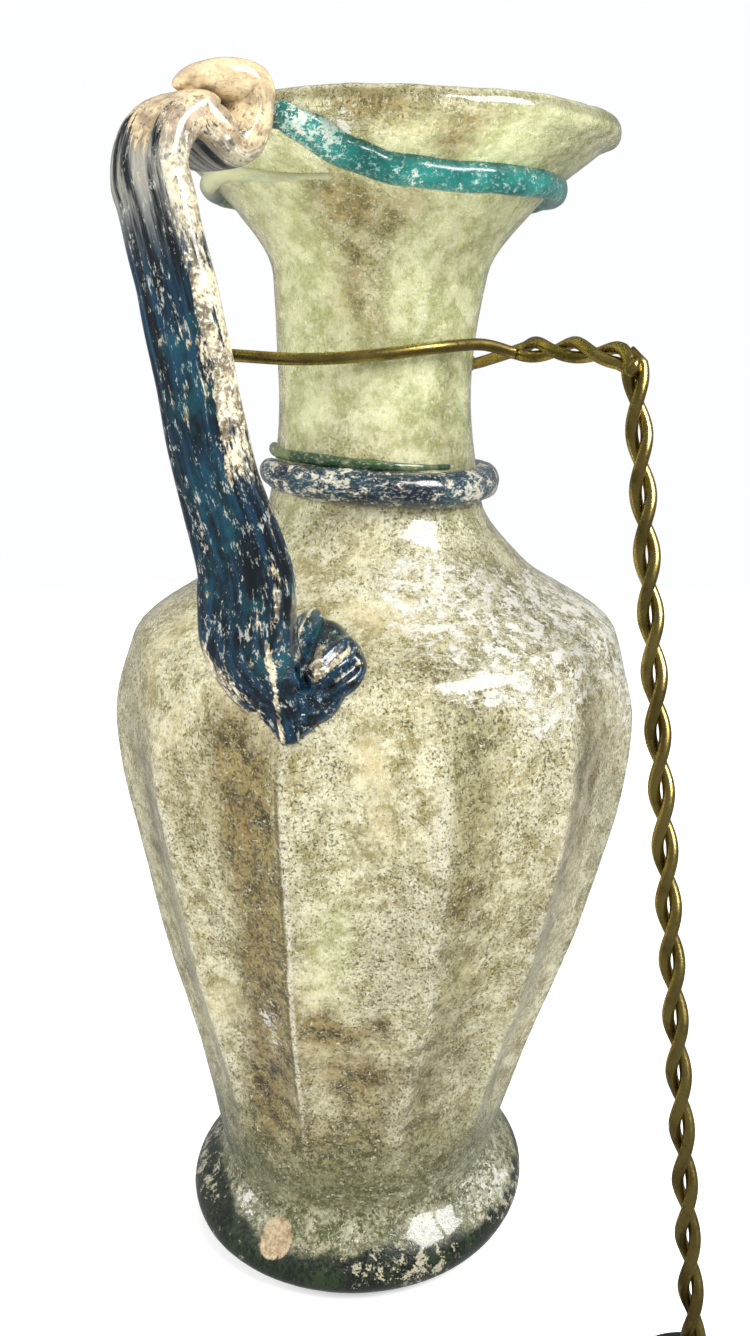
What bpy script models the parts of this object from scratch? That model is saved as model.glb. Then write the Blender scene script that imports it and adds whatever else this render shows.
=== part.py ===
"""Late Roman glass jug, ribbed, with trails, a strap handle and the twisted wire cradle that steadies it.

Metres, +Z up. The origin is the middle of the foot's underside, which rests on z = 0.
Azimuths are in degrees round the jug: 0 points to -Y and 90 points to +X.
"""

import math

import bmesh
import bpy
from mathutils import Vector

CLEARANCE = 0.0003  # left between pieces that are fused or touch on the real jug

# Foot
FOOT_RADIUS = 0.033
FOOT_EDGE_HEIGHT = 0.005
FOOT_TOP_HEIGHT = 0.0098
FOOT_TOP_RADIUS = 0.0305
REST_OUTER_RADIUS = 0.0285
REST_INNER_RADIUS = 0.0205
PONTIL_RADIUS = 0.007
KICK_DEPTH = 0.0014
FOOT_WOBBLE = 0.0014  # the poured foot is this much thicker on one side

# Body, neck and mouth: heights above the table, outer radii
ANKLE_HEIGHT, ANKLE_RADIUS = 0.0150, 0.0265
LOWER_HEIGHT, LOWER_RADIUS = 0.0370, 0.0315
WAIST_HEIGHT, WAIST_RADIUS = 0.0700, 0.0403
BELLY_HEIGHT, BELLY_RADIUS = 0.1040, 0.0458
SHOULDER_HEIGHT, SHOULDER_RADIUS = 0.1185, 0.0423
SLOPE_HEIGHT, SLOPE_RADIUS = 0.1300, 0.0264
NECK_BASE_HEIGHT, NECK_BASE_RADIUS = 0.1410, 0.0182
NECK_HEIGHT, NECK_RADIUS = 0.1590, 0.0162
THROAT_HEIGHT, THROAT_RADIUS = 0.1775, 0.0175
FUNNEL_HEIGHT, FUNNEL_RADIUS = 0.1880, 0.0246
JUG_HEIGHT = 0.2000
MOUTH_RADIUS = 0.0365
LIP_ROUND = 0.0023
WALL = 0.0022
FLOOR_HEIGHT = 0.0125
FLOOR_ROUND = 0.0060
BODY_LEAN = 0.0035  # the body stands this far to +X of its foot
MOUTH_LEAN = 0.0020  # and the mouth this much further

# Ribs blown into the body
RIB_COUNT = 12
RIB_AZIMUTH = -18.0
RIB_DEPTH = 0.0017
RIB_INSIDE = 0.5  # share of the relief that shows on the inner wall
RIB_LOW, RIB_HIGH = 0.018, 0.122
RIB_FADE_LOW, RIB_FADE_HIGH = 0.030, 0.024
SEGMENTS_PER_RIB = 4

# Handle
STRAP_WIDTH = 0.0118
STRAP_THICKNESS = 0.0056
STRAP_RIDGE = 0.0004
HANDLE_REACH = 0.0516  # axis of the jug to the middle of the strap, at its top
HANDLE_TOP_AZIMUTH = -36.5
HANDLE_FOOT_AZIMUTH = -17.0
CLAW_WIDTH = 0.0150
THUMB_RISE = 0.0032  # the thumb rest stands this far above the lip
LOBE_SIZE = 0.0068

# Trails
RIM_TRAIL_THICKNESS = 0.0043
RIM_TRAIL_START = -21.5
RIM_TRAIL_TURN = 365.0
NECK_TRAIL_THICKNESS = 0.0056
NECK_TRAIL_START = -95.0
NECK_TRAIL_TURN = 500.0

# Wire cradle
WIRE_THICKNESS = 0.0019
TWIST_GAP = 0.00075  # between the two strands, where they cross
TWIST_RADIUS = 0.5 * (WIRE_THICKNESS + TWIST_GAP)
TWIST_PITCH = 0.0180
WIRE_HEIGHT = 0.1655
POST_TOP = (0.0422, -0.0250)
POST_FOOT = (0.0555, -0.0545)
POST_BEND = 0.0055
FORK_AZIMUTH = 84.0
FORK_PHASE = -60.0  # where the pair parts, the front strand lies above and in front
SLEEVE_GAP = 0.00025  # between the wire and the bore of its sleeve
SLEEVE_WALL = 0.0004
SLEEVE_THICKNESS = WIRE_THICKNESS + 2.0 * (SLEEVE_GAP + SLEEVE_WALL)
CRADLE_FOOT_RADIUS = 0.0125
CRADLE_FOOT_HEIGHT = 0.0050
CRADLE_FOOT_BEVEL = 0.0010
SOCKET_FLOOR = 0.0018

SEGMENTS = RIB_COUNT * SEGMENTS_PER_RIB


def smooth_step(low, high, value):
    """0 below low, 1 above high, and an even curve between."""
    share = min(1.0, max(0.0, (value - low) / (high - low)))
    return share * share * (3.0 - 2.0 * share)


def through(stations, value):
    """Reads a smooth curve without overshoot through (place, size) stations."""
    places = [place for place, _ in stations]
    sizes = [size for _, size in stations]
    steps = [b - a for a, b in zip(places, places[1:])]
    slopes = [(b - a) / step for a, b, step in zip(sizes, sizes[1:], steps)]
    tangents = [slopes[0]]
    for left, right in zip(slopes, slopes[1:]):
        together = left * right
        tangents.append(2.0 * together / (left + right) if together > 0.0 else 0.0)
    tangents.append(slopes[-1])
    value = min(places[-1], max(places[0], value))
    index = max(i for i in range(len(steps)) if value >= places[i])
    step = steps[index]
    t = (value - places[index]) / step
    rise = sizes[index + 1] - sizes[index]
    start = tangents[index] * step
    end = tangents[index + 1] * step
    return sizes[index] + start * t + (3 * rise - 2 * start - end) * t**2 + (start + end - 2 * rise) * t**3


def wall_stations():
    """The outer wall from the ankle to just under the lip."""
    lip_middle = MOUTH_RADIUS - LIP_ROUND
    lip_height = JUG_HEIGHT - LIP_ROUND
    return [
        (ANKLE_HEIGHT, ANKLE_RADIUS),
        (LOWER_HEIGHT, LOWER_RADIUS),
        (WAIST_HEIGHT, WAIST_RADIUS),
        (BELLY_HEIGHT, BELLY_RADIUS),
        (SHOULDER_HEIGHT, SHOULDER_RADIUS),
        (SLOPE_HEIGHT, SLOPE_RADIUS),
        (NECK_BASE_HEIGHT, NECK_BASE_RADIUS),
        (NECK_HEIGHT, NECK_RADIUS),
        (THROAT_HEIGHT, THROAT_RADIUS),
        (FUNNEL_HEIGHT, FUNNEL_RADIUS),
        (lip_height - 0.55 * LIP_ROUND, lip_middle + 0.2 * LIP_ROUND),
    ]


def wall_radius(height):
    """Outer radius at a height, before the ribs."""
    return through(wall_stations(), height)


def wall_normal(height):
    """Unit normal of the outer wall in its section: outward share and upward share."""
    step = 0.0004
    rise = wall_radius(height + step) - wall_radius(height - step)
    length = math.hypot(2 * step, rise)
    return 2 * step / length, -rise / length


def lean(height):
    """How far the jug's axis stands to +X at a height."""
    body = BODY_LEAN * smooth_step(0.0, 0.9 * BELLY_HEIGHT, height)
    return body + MOUTH_LEAN * smooth_step(NECK_HEIGHT, JUG_HEIGHT, height)


def rib_hollow(azimuth):
    """0 on a rib's crest and 1 in the middle of the hollow between two."""
    turn = ((azimuth - RIB_AZIMUTH) * RIB_COUNT / 360.0) % 1.0
    across = 1.0 - abs(2.0 * turn - 1.0)
    return across * (2.0 - across)


def rib_relief(height, azimuth):
    """How far the wall lies inside its turned outline."""
    low = smooth_step(RIB_LOW, RIB_LOW + RIB_FADE_LOW, height)
    high = 1.0 - smooth_step(RIB_HIGH - RIB_FADE_HIGH, RIB_HIGH, height)
    return RIB_DEPTH * low * high * rib_hollow(azimuth)


def at(radius, azimuth, height):
    """A point round the jug's leaning axis."""
    turn = math.radians(azimuth)
    return Vector((radius * math.sin(turn) + lean(height), -radius * math.cos(turn), height))


def arc(middle, radius, start, end, count):
    """Points (radius, height) along an arc in the section, angles in degrees from outward."""
    points = []
    for i in range(count + 1):
        angle = math.radians(start + (end - start) * i / count)
        points.append((middle[0] + radius * math.cos(angle), middle[1] + radius * math.sin(angle)))
    return points


def heights_between(low, high, count):
    return [low + (high - low) * i / count for i in range(count + 1)]


def outer_heights():
    """Heights of the outer wall's rings, closer where the outline turns."""
    lip_start = JUG_HEIGHT - 1.55 * LIP_ROUND
    return (
        heights_between(ANKLE_HEIGHT, LOWER_HEIGHT, 2)[:-1]
        + heights_between(LOWER_HEIGHT, BELLY_HEIGHT, 4)[:-1]
        + heights_between(BELLY_HEIGHT, SLOPE_HEIGHT, 5)[:-1]
        + heights_between(SLOPE_HEIGHT, NECK_HEIGHT, 4)[:-1]
        + heights_between(NECK_HEIGHT, THROAT_HEIGHT, 2)[:-1]
        + heights_between(THROAT_HEIGHT, lip_start, 4)
    )


def foot_section():
    """(radius, height) from the middle of the underside up to the ankle."""
    kick = [(PONTIL_RADIUS, 0.0), (PONTIL_RADIUS + KICK_DEPTH, KICK_DEPTH)]
    kick += [(REST_INNER_RADIUS - KICK_DEPTH, KICK_DEPTH), (REST_INNER_RADIUS, 0.0)]
    edge = [(REST_OUTER_RADIUS, 0.0)]
    edge.append((FOOT_RADIUS - 0.0011, 0.36 * FOOT_EDGE_HEIGHT))
    edge.append((FOOT_RADIUS, FOOT_EDGE_HEIGHT))
    edge.append((FOOT_TOP_RADIUS, FOOT_TOP_HEIGHT))
    return [(0.0, 0.0)] + kick + edge


def inner_section():
    """(radius, height) down the inner wall, from the lip to the middle of the floor."""
    stations = [JUG_HEIGHT - 1.9 * LIP_ROUND, FUNNEL_HEIGHT, THROAT_HEIGHT, NECK_HEIGHT]
    stations += [NECK_BASE_HEIGHT, 0.5 * (NECK_BASE_HEIGHT + SLOPE_HEIGHT), SLOPE_HEIGHT]
    stations += [0.5 * (SLOPE_HEIGHT + SHOULDER_HEIGHT), SHOULDER_HEIGHT, BELLY_HEIGHT]
    stations += [WAIST_HEIGHT, LOWER_HEIGHT]
    points = []
    for height in stations:
        outward, upward = wall_normal(height)
        points.append((wall_radius(height) - WALL * outward, height - WALL * upward))
    corner = FLOOR_HEIGHT + FLOOR_ROUND
    side = wall_radius(corner) - WALL
    points += arc((side - FLOOR_ROUND, corner), FLOOR_ROUND, 0.0, -90.0, 2)
    points.append((0.0, FLOOR_HEIGHT - 0.001))
    return points


def new_object(name, shape, material):
    """Turns a bmesh into a named, smooth-shaded object."""
    bmesh.ops.recalc_face_normals(shape, faces=shape.faces)
    mesh = bpy.data.meshes.new(name)
    shape.to_mesh(mesh)
    shape.free()
    mesh.materials.append(material)
    mesh.shade_smooth()
    mesh.set_sharp_from_angle(angle=math.radians(40))
    piece = bpy.data.objects.new(name, mesh)
    bpy.context.scene.collection.objects.link(piece)
    return piece


def spun(section, segments):
    """Spins a section, given as (radius, height), once round the Z axis."""
    shape = bmesh.new()
    corners = [shape.verts.new((radius, 0.0, height)) for radius, height in section]
    edges = [shape.edges.new(pair) for pair in zip(corners, corners[1:])]
    bmesh.ops.spin(
        shape,
        geom=corners + edges,
        cent=(0, 0, 0),
        axis=(0, 0, 1),
        angle=math.tau,
        steps=segments,
        use_merge=True,
    )
    bmesh.ops.remove_doubles(shape, verts=shape.verts, dist=1e-6)
    return shape


def shape_wall(shape, relief_of):
    """Moves a turned wall's points to the ribs, the uneven foot and the leaning axis."""
    for corner in shape.verts:
        x, y, height = corner.co
        radius = math.hypot(x, y)
        azimuth = math.degrees(math.atan2(x, -y))
        if radius > 1e-6:
            radius -= relief_of(corner, height, azimuth)
        above_rest = smooth_step(0.0, FOOT_EDGE_HEIGHT, height)
        below_wall = 1.0 - smooth_step(FOOT_TOP_HEIGHT, 2 * ANKLE_HEIGHT, height)
        outer = smooth_step(PONTIL_RADIUS, FOOT_RADIUS, radius)
        place = at(radius, azimuth, height)
        place.z += FOOT_WOBBLE * above_rest * below_wall * outer * math.sin(math.radians(azimuth))
        corner.co = place


def make_jug_body(material):
    """The blown vessel: outer wall, rounded lip, inner wall and floor in one section."""
    lip = (MOUTH_RADIUS - LIP_ROUND, JUG_HEIGHT - LIP_ROUND)
    outer = [(wall_radius(height), height) for height in outer_heights()]
    rounding = arc(lip, LIP_ROUND, -18.0, 160.0, 5)
    section = foot_section() + outer + rounding + inner_section()
    inner_points = {(round(r, 6), round(h, 6)) for r, h in inner_section()}
    shape = spun(section, SEGMENTS)

    def relief_of(corner, height, azimuth):
        key = (round(math.hypot(corner.co.x, corner.co.y), 6), round(height, 6))
        share = RIB_INSIDE if key in inner_points else 1.0
        return share * rib_relief(height, azimuth)

    shape_wall(shape, relief_of)
    return new_object("jug_body", shape, material)


def make_envelope():
    """The vessel's outside, larger by the clearance and filled: it trims what is laid on the glass."""
    foot = [(0.0, -CLEARANCE)] + [(r + CLEARANCE, h) for r, h in foot_section()[-3:]]
    wall = []
    for height in outer_heights():
        outward, upward = wall_normal(height)
        wall.append((wall_radius(height) + CLEARANCE * outward, height + CLEARANCE * upward))
    lip = (MOUTH_RADIUS - LIP_ROUND, JUG_HEIGHT - LIP_ROUND)
    rounding = arc(lip, LIP_ROUND + CLEARANCE, -18.0, 90.0, 3)
    shape = spun(foot + wall + rounding + [(0.0, JUG_HEIGHT + CLEARANCE)], SEGMENTS)
    shape_wall(shape, lambda corner, height, azimuth: rib_relief(height, azimuth))
    piece = new_object("envelope", shape, None)
    piece.hide_render = True
    piece.display_type = "WIRE"
    return piece


def ring_of(middle, across, thick, width, thickness, ridge):
    """A strap's section: a rounded oblong whose outer face carries combed ridges."""
    points = []
    count = 16
    for i in range(count):
        angle = math.tau * i / count
        x = math.copysign(abs(math.cos(angle)) ** 0.7, math.cos(angle))
        y = math.copysign(abs(math.sin(angle)) ** 0.7, math.sin(angle))
        comb = ridge if (y > 0.5 and i % 2 == 0) else 0.0
        points.append(middle + across * (0.5 * width * x) + thick * (0.5 * thickness * y - comb))
    return points


def lofted(rings):
    """Bridges one ring of points to the next and closes both ends."""
    shape = bmesh.new()
    loops = []
    for ring in rings:
        corners = [shape.verts.new(point) for point in ring]
        loops.append([shape.edges.new((a, b)) for a, b in zip(corners, corners[1:] + corners[:1])])
        if ring is rings[0] or ring is rings[-1]:
            shape.faces.new(corners)
    for first, second in zip(loops, loops[1:]):
        bmesh.ops.bridge_loops(shape, edges=first + second)
    return shape


def handle_stations():
    """(azimuth, reach from the axis, height, width, thickness) from the claw's tip up to the thumb rest."""
    top, foot = HANDLE_TOP_AZIMUTH, HANDLE_FOOT_AZIMUTH
    reach = HANDLE_REACH
    under_lip = JUG_HEIGHT - 0.0074
    shoulder = wall_radius(SHOULDER_HEIGHT)
    belly_side = wall_radius(SHOULDER_HEIGHT - 0.007)
    width, thick = STRAP_WIDTH, STRAP_THICKNESS
    lip_edge = MOUTH_RADIUS
    thumb = JUG_HEIGHT + THUMB_RISE - 0.5 * thick
    return [
        (foot + 1.6, belly_side + 0.0006, SHOULDER_HEIGHT - 0.0067, 0.25 * width, 0.4 * thick),
        (foot - 1.2, shoulder + 0.0014, SHOULDER_HEIGHT - 0.0015, 0.55 * CLAW_WIDTH, thick),
        (foot - 4.6, shoulder + 0.0016, SHOULDER_HEIGHT + 0.0027, 0.84 * CLAW_WIDTH, 1.4 * thick),
        (foot - 6.3, shoulder + 0.0028, SHOULDER_HEIGHT + 0.0077, 0.95 * CLAW_WIDTH, 1.6 * thick),
        (foot - 5.3, reach - 0.0044, SHOULDER_HEIGHT + 0.0135, 0.97 * CLAW_WIDTH, 1.2 * thick),
        (foot - 4.6, reach - 0.0030, SHOULDER_HEIGHT + 0.0195, 1.20 * width, thick),
        (foot - 8.5, reach - 0.0016, SHOULDER_HEIGHT + 0.0330, 1.03 * width, thick),
        (0.4 * foot + 0.6 * top, reach - 0.0006, SHOULDER_HEIGHT + 0.0490, width, thick),
        (0.12 * foot + 0.88 * top, reach, JUG_HEIGHT - 0.0165, width, thick),
        (top - 0.4, reach - 0.0006, JUG_HEIGHT - 0.0110, width, thick),
        (top - 1.0, reach - 0.0028, JUG_HEIGHT - 0.0064, width, 1.05 * thick),
        (top - 1.0, reach - 0.0066, JUG_HEIGHT - 0.0040, 1.03 * width, 1.1 * thick),
        (top, 0.45 * reach + 0.55 * lip_edge, under_lip + 0.0018, 1.03 * width, 1.1 * thick),
        (top + 1.8, lip_edge + 0.0034, under_lip, 1.03 * width, 1.08 * thick),
        (top + 2.6, lip_edge + 0.0008, under_lip + 0.0040, width, thick),
        (top + 2.2, lip_edge + 0.0008, thumb - 0.0004, width, thick),
        (top + 1.0, lip_edge + 0.0044, thumb + 0.0002, 0.88 * width, 0.8 * thick),
        (top, lip_edge + 0.0078, thumb - 0.0004, 0.5 * width, 0.35 * thick),
    ]


def make_strap(material):
    """The strap, bridged through its stations, its section square to its run."""
    stations = handle_stations()
    middles = [at(reach, azimuth, height) for azimuth, reach, height, _, _ in stations]
    rings = []
    for i, (azimuth, _, _, width, thickness) in enumerate(stations):
        before = middles[max(0, i - 1)]
        after = middles[min(len(middles) - 1, i + 1)]
        run = (after - before).normalized()
        turn = math.radians(azimuth)
        sideways = Vector((math.cos(turn), math.sin(turn), 0.0))
        across = (sideways - run * sideways.dot(run)).normalized()
        outward = across.cross(run)
        rings.append(ring_of(middles[i], across, outward, width, thickness, STRAP_RIDGE))
    return new_object("handle", lofted(rings), material)


def make_lobe():
    """The side lobe of the claw, pressed out on the shoulder beside the strap."""
    shape = bmesh.new()
    bmesh.ops.create_uvsphere(shape, u_segments=14, v_segments=8, radius=LOBE_SIZE)
    bmesh.ops.scale(shape, vec=(0.95, 0.55, 0.95), verts=shape.verts)
    height = SHOULDER_HEIGHT + 0.0036
    azimuth = HANDLE_FOOT_AZIMUTH + 8.0
    outward, upward = wall_normal(height)
    place = at(wall_radius(height) + 0.0010, azimuth, height)
    turn = math.radians(azimuth)
    normal = Vector((outward * math.sin(turn), -outward * math.cos(turn), upward))
    basis = normal.to_track_quat("-Y", "Z").to_matrix().to_4x4()
    bmesh.ops.transform(shape, matrix=basis, verts=shape.verts)
    bmesh.ops.translate(shape, vec=place, verts=shape.verts)
    piece = new_object("lobe_former", shape, None)
    piece.hide_render = True
    piece.display_type = "WIRE"
    return piece


def add_boolean(piece, other, operation):
    change = piece.modifiers.new(operation.title() + " " + other.name, "BOOLEAN")
    change.operation = operation
    change.object = other


def make_handle(material, envelope):
    """The strap and its side lobe as one solid, trimmed where it lies on the glass."""
    piece = make_strap(material)
    add_boolean(piece, make_lobe(), "UNION")
    add_boolean(piece, envelope, "DIFFERENCE")
    return piece


def tube(name, points, thickness, material, sides=6, shares=None, filled=True):
    """A round thread along points, as a mesh. shares thin it point by point."""
    path = bpy.data.curves.new(name, "CURVE")
    path.dimensions = "3D"
    path.bevel_depth = 0.5 * thickness
    path.bevel_resolution = sides // 2 - 2
    path.use_fill_caps = filled
    line = path.splines.new("POLY")
    line.points.add(len(points) - 1)
    for i, point in enumerate(points):
        line.points[i].co = (*point, 1.0)
        line.points[i].radius = shares[i] if shares else 1.0
    carrier = bpy.data.objects.new(name + "_path", path)
    bpy.context.scene.collection.objects.link(carrier)
    bpy.context.view_layer.update()
    mesh = bpy.data.meshes.new_from_object(carrier.evaluated_get(bpy.context.evaluated_depsgraph_get()))
    bpy.data.objects.remove(carrier)
    shape = bmesh.new()
    shape.from_mesh(mesh)
    bpy.data.meshes.remove(mesh)
    bmesh.ops.remove_doubles(shape, verts=shape.verts, dist=1e-6)
    return new_object(name, shape, material)


def make_rim_trail(material, envelope):
    """The thread wound down once from the lip, thinning to a tail under its own start."""
    count = 40
    level = JUG_HEIGHT - 0.0097
    heights = [
        (0.0, JUG_HEIGHT - 0.0042),
        (0.02, JUG_HEIGHT - 0.0062),
        (0.06, level + 0.0010),
        (0.12, level + 0.0001),
        (0.55, level),
        (0.88, level + 0.0010),
        (1.0, level - 0.0004),
    ]
    shares = [(0.0, 0.6), (0.03, 0.9), (0.10, 1.0), (0.80, 0.95), (0.90, 0.5), (1.0, 0.28)]
    points, sizes = [], []
    for i in range(count + 1):
        share = i / count
        height = through(heights, share)
        outward, upward = wall_normal(height)
        size = through(shares, share)
        proud = 0.12 * RIM_TRAIL_THICKNESS * size
        azimuth = RIM_TRAIL_START + RIM_TRAIL_TURN * share
        points.append(at(wall_radius(height) + proud * outward, azimuth, height + proud * upward))
        sizes.append(size)
    piece = tube("rim_trail", points, RIM_TRAIL_THICKNESS, material, shares=sizes)
    add_boolean(piece, envelope, "DIFFERENCE")
    return piece


def make_neck_trail(material, envelope):
    """The thick thread round the foot of the neck: one heavy turn, then a thinner one above it."""
    count = 46
    middle = NECK_BASE_HEIGHT + 0.0036
    heights = [
        (0.0, middle + 0.0016),
        (0.21, middle + 0.0004),
        (0.33, middle - 0.0004),
        (0.55, middle - 0.0002),
        (0.66, middle + 0.0018),
        (0.72, middle + 0.0047),
        (0.76, middle + 0.0053),
        (1.0, middle + 0.0041),
    ]
    shares = [(0.0, 0.5), (0.06, 0.8), (0.2, 1.0), (0.45, 1.0), (0.62, 0.7), (0.72, 0.32), (1.0, 0.22)]
    points, sizes = [], []
    for i in range(count + 1):
        share = i / count
        height = through(heights, share)
        size = through(shares, share)
        proud = 0.16 * NECK_TRAIL_THICKNESS * size
        azimuth = NECK_TRAIL_START + NECK_TRAIL_TURN * share
        points.append(at(wall_radius(height) + proud, azimuth, height))
        sizes.append(size)
    piece = tube("neck_trail", points, NECK_TRAIL_THICKNESS, material, shares=sizes)
    add_boolean(piece, envelope, "DIFFERENCE")
    return piece


def smooth_run(points, spacing):
    """Reads a Catmull-Rom curve through points, a step every spacing."""
    ends = [2 * points[0] - points[1]] + points + [2 * points[-1] - points[-2]]
    dense = []
    for a, b, c, d in zip(ends, ends[1:], ends[2:], ends[3:]):
        for i in range(24):
            t = i / 24
            near = 2 * b + (c - a) * t
            far = (2 * a - 5 * b + 4 * c - d) * t**2 + (3 * b - a - 3 * c + d) * t**3
            dense.append(0.5 * (near + far))
    dense.append(points[-1])
    total = sum((b - a).length for a, b in zip(dense, dense[1:]))
    count = max(2, round(total / spacing))
    run, walked, wanted = [dense[0]], 0.0, total / count
    for a, b in zip(dense, dense[1:]):
        step = (b - a).length
        while walked + step >= wanted - 1e-9 and len(run) < count:
            run.append(a.lerp(b, (wanted - walked) / step))
            wanted += total / count
        walked += step
    run.append(dense[-1])
    return run


def cradle_line():
    """The middle of the twisted pair: from inside the foot up the post, over the bend, to the fork."""
    foot = Vector((*POST_FOOT, SOCKET_FLOOR + 2 * CLEARANCE))
    top = Vector((*POST_TOP, WIRE_HEIGHT - POST_BEND))
    fork = fork_point()
    towards = Vector((fork.x - top.x, fork.y - top.y, 0.0)).normalized()
    line = [foot, foot.lerp(top, 0.33) - towards * 0.0003, foot.lerp(top, 0.66) - towards * 0.0002, top]
    for angle in (45.0, 90.0):
        turn = math.radians(angle)
        rise = Vector((0.0, 0.0, math.sin(turn)))
        line.append(top + POST_BEND * (towards * (1.0 - math.cos(turn)) + rise))
    line += [line[-1].lerp(fork, 0.5) + Vector((0.0, 0.0, 0.0006)), fork]
    return line


def neck_gap_radius():
    """How far the wire's middle runs from the axis where it passes the neck."""
    return wall_radius(WIRE_HEIGHT) + 0.5 * WIRE_THICKNESS + 2 * CLEARANCE


def fork_point():
    return at(neck_gap_radius() + 0.0042, FORK_AZIMUTH, WIRE_HEIGHT)


def twisted(line, side):
    """Winds a strand round the line, on one side of the pair."""
    points = []
    walked = -sum((b - a).length for a, b in zip(line, line[1:]))
    for i, middle in enumerate(line):
        before = line[max(0, i - 1)]
        after = line[min(len(line) - 1, i + 1)]
        if i:
            walked += (middle - before).length
        run = (after - before).normalized()
        across = run.cross(Vector((-0.55, -0.83, 0.05))).normalized()
        up = run.cross(across)
        angle = math.tau * walked / TWIST_PITCH + math.radians(FORK_PHASE) + side * math.pi
        points.append(middle + (across * math.cos(angle) + up * math.sin(angle)) * TWIST_RADIUS)
    return points


def make_cradle(brass, clear, black):
    """Two wires twisted into a post, their ends parting round the neck, in a small foot."""
    line = smooth_run(cradle_line(), TWIST_PITCH / 6.5)
    reach = neck_gap_radius()
    beyond = WIRE_THICKNESS + CLEARANCE
    front_end = [
        at(reach + 0.6 * beyond, 62.0, WIRE_HEIGHT + 0.0012),
        at(reach, 30.0, WIRE_HEIGHT + 0.0008),
        at(reach, 0.0, WIRE_HEIGHT - 0.0002),
        at(reach / math.cos(math.radians(32)), -32.0, WIRE_HEIGHT - 0.0008),
        at(reach / math.cos(math.radians(52)), -52.0, WIRE_HEIGHT - 0.0002),
    ]
    sleeve_gap = SLEEVE_GAP + SLEEVE_WALL
    back_end = [at(reach + sleeve_gap, azimuth, WIRE_HEIGHT - 0.0022) for azimuth in range(110, 231, 15)]
    for name, side, tail in (("wire_strand_front", 0, front_end), ("wire_strand_back", 1, back_end)):
        route = twisted(line, side)[:-1]
        run = smooth_run([route[-2], route[-1]] + tail, 0.0034)
        tube(name, route + run[2:], WIRE_THICKNESS, brass)
    sleeve_line = [at(reach + sleeve_gap, azimuth, WIRE_HEIGHT - 0.0022) for azimuth in range(118, 239, 12)]
    make_sleeve(sleeve_line, clear)
    make_cradle_foot(black)


def make_sleeve(line, material):
    """A clear tube over the back finger, open at both ends."""
    piece = tube("wire_sleeve", line, SLEEVE_THICKNESS, material, sides=8, filled=False)
    wall = piece.modifiers.new("Wall", "SOLIDIFY")
    wall.thickness = SLEEVE_WALL
    wall.offset = -1.0


def make_cradle_foot(material):
    """A low disc with a socket that the twisted pair stands in."""
    floor, top, edge = SOCKET_FLOOR, CRADLE_FOOT_HEIGHT, CRADLE_FOOT_RADIUS
    post_lean = math.dist(POST_FOOT, POST_TOP) / WIRE_HEIGHT
    socket = TWIST_RADIUS + 0.5 * WIRE_THICKNESS + 2 * CLEARANCE + post_lean * (top - floor)
    section = [(0.0, 0.0), (edge - CRADLE_FOOT_BEVEL, 0.0), (edge, CRADLE_FOOT_BEVEL)]
    section += [(edge, top - CRADLE_FOOT_BEVEL), (edge - CRADLE_FOOT_BEVEL, top)]
    section += [(socket, top), (socket, floor), (0.0, floor)]
    shape = spun(section, 24)
    bmesh.ops.translate(shape, vec=(*POST_FOOT, 0.0), verts=shape.verts)
    return new_object("wire_foot", shape, material)


def material_of(name, colour, roughness, metallic=0.0, transmission=0.0):
    made = bpy.data.materials.new(name)
    made.use_nodes = True
    shader = made.node_tree.nodes["Principled BSDF"]
    shader.inputs["Base Color"].default_value = (*colour, 1.0)
    shader.inputs["Roughness"].default_value = roughness
    shader.inputs["Metallic"].default_value = metallic
    shader.inputs["Transmission Weight"].default_value = transmission
    made.diffuse_color = (*colour, 1.0)
    return made


def main():
    for piece in list(bpy.data.objects):
        bpy.data.objects.remove(piece)
    pale_glass = material_of("weathered_glass", (0.70, 0.69, 0.47), 0.35, transmission=0.5)
    blue_glass = material_of("blue_glass", (0.02, 0.10, 0.16), 0.25, transmission=0.2)
    teal_glass = material_of("teal_glass", (0.02, 0.25, 0.24), 0.25, transmission=0.2)
    brass = material_of("brass", (0.45, 0.33, 0.13), 0.3, metallic=1.0)
    clear = material_of("clear_plastic", (0.9, 0.9, 0.9), 0.15, transmission=0.9)
    black = material_of("black_paint", (0.02, 0.02, 0.02), 0.5)
    make_jug_body(pale_glass)
    envelope = make_envelope()
    make_handle(blue_glass, envelope)
    make_rim_trail(teal_glass, envelope)
    make_neck_trail(blue_glass, envelope)
    make_cradle(brass, clear, black)


main()
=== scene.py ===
import math
from functools import lru_cache

import bmesh
import bpy
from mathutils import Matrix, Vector, noise


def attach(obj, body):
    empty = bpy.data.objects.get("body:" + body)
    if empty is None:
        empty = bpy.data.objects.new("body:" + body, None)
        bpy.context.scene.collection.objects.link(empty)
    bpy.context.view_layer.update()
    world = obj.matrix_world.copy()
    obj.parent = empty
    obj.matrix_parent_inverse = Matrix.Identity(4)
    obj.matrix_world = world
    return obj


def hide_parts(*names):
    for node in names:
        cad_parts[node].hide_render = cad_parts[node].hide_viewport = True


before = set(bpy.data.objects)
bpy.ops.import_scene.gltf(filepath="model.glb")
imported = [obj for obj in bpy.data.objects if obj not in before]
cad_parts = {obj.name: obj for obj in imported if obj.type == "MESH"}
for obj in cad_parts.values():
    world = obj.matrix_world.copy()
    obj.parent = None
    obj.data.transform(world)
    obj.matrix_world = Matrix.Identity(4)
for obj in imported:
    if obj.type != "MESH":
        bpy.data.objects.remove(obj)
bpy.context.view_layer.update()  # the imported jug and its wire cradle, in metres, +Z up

# The jug's foot stands on z = 0 in the middle. Azimuths are degrees round the jug: 0 faces the camera
# (-Y) and 90 is to the right (+X).


def smoothStep(low, high, value):
    share = min(1.0, max(0.0, (value - low) / (high - low)))
    return share * share * (3.0 - 2.0 * share)


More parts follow.
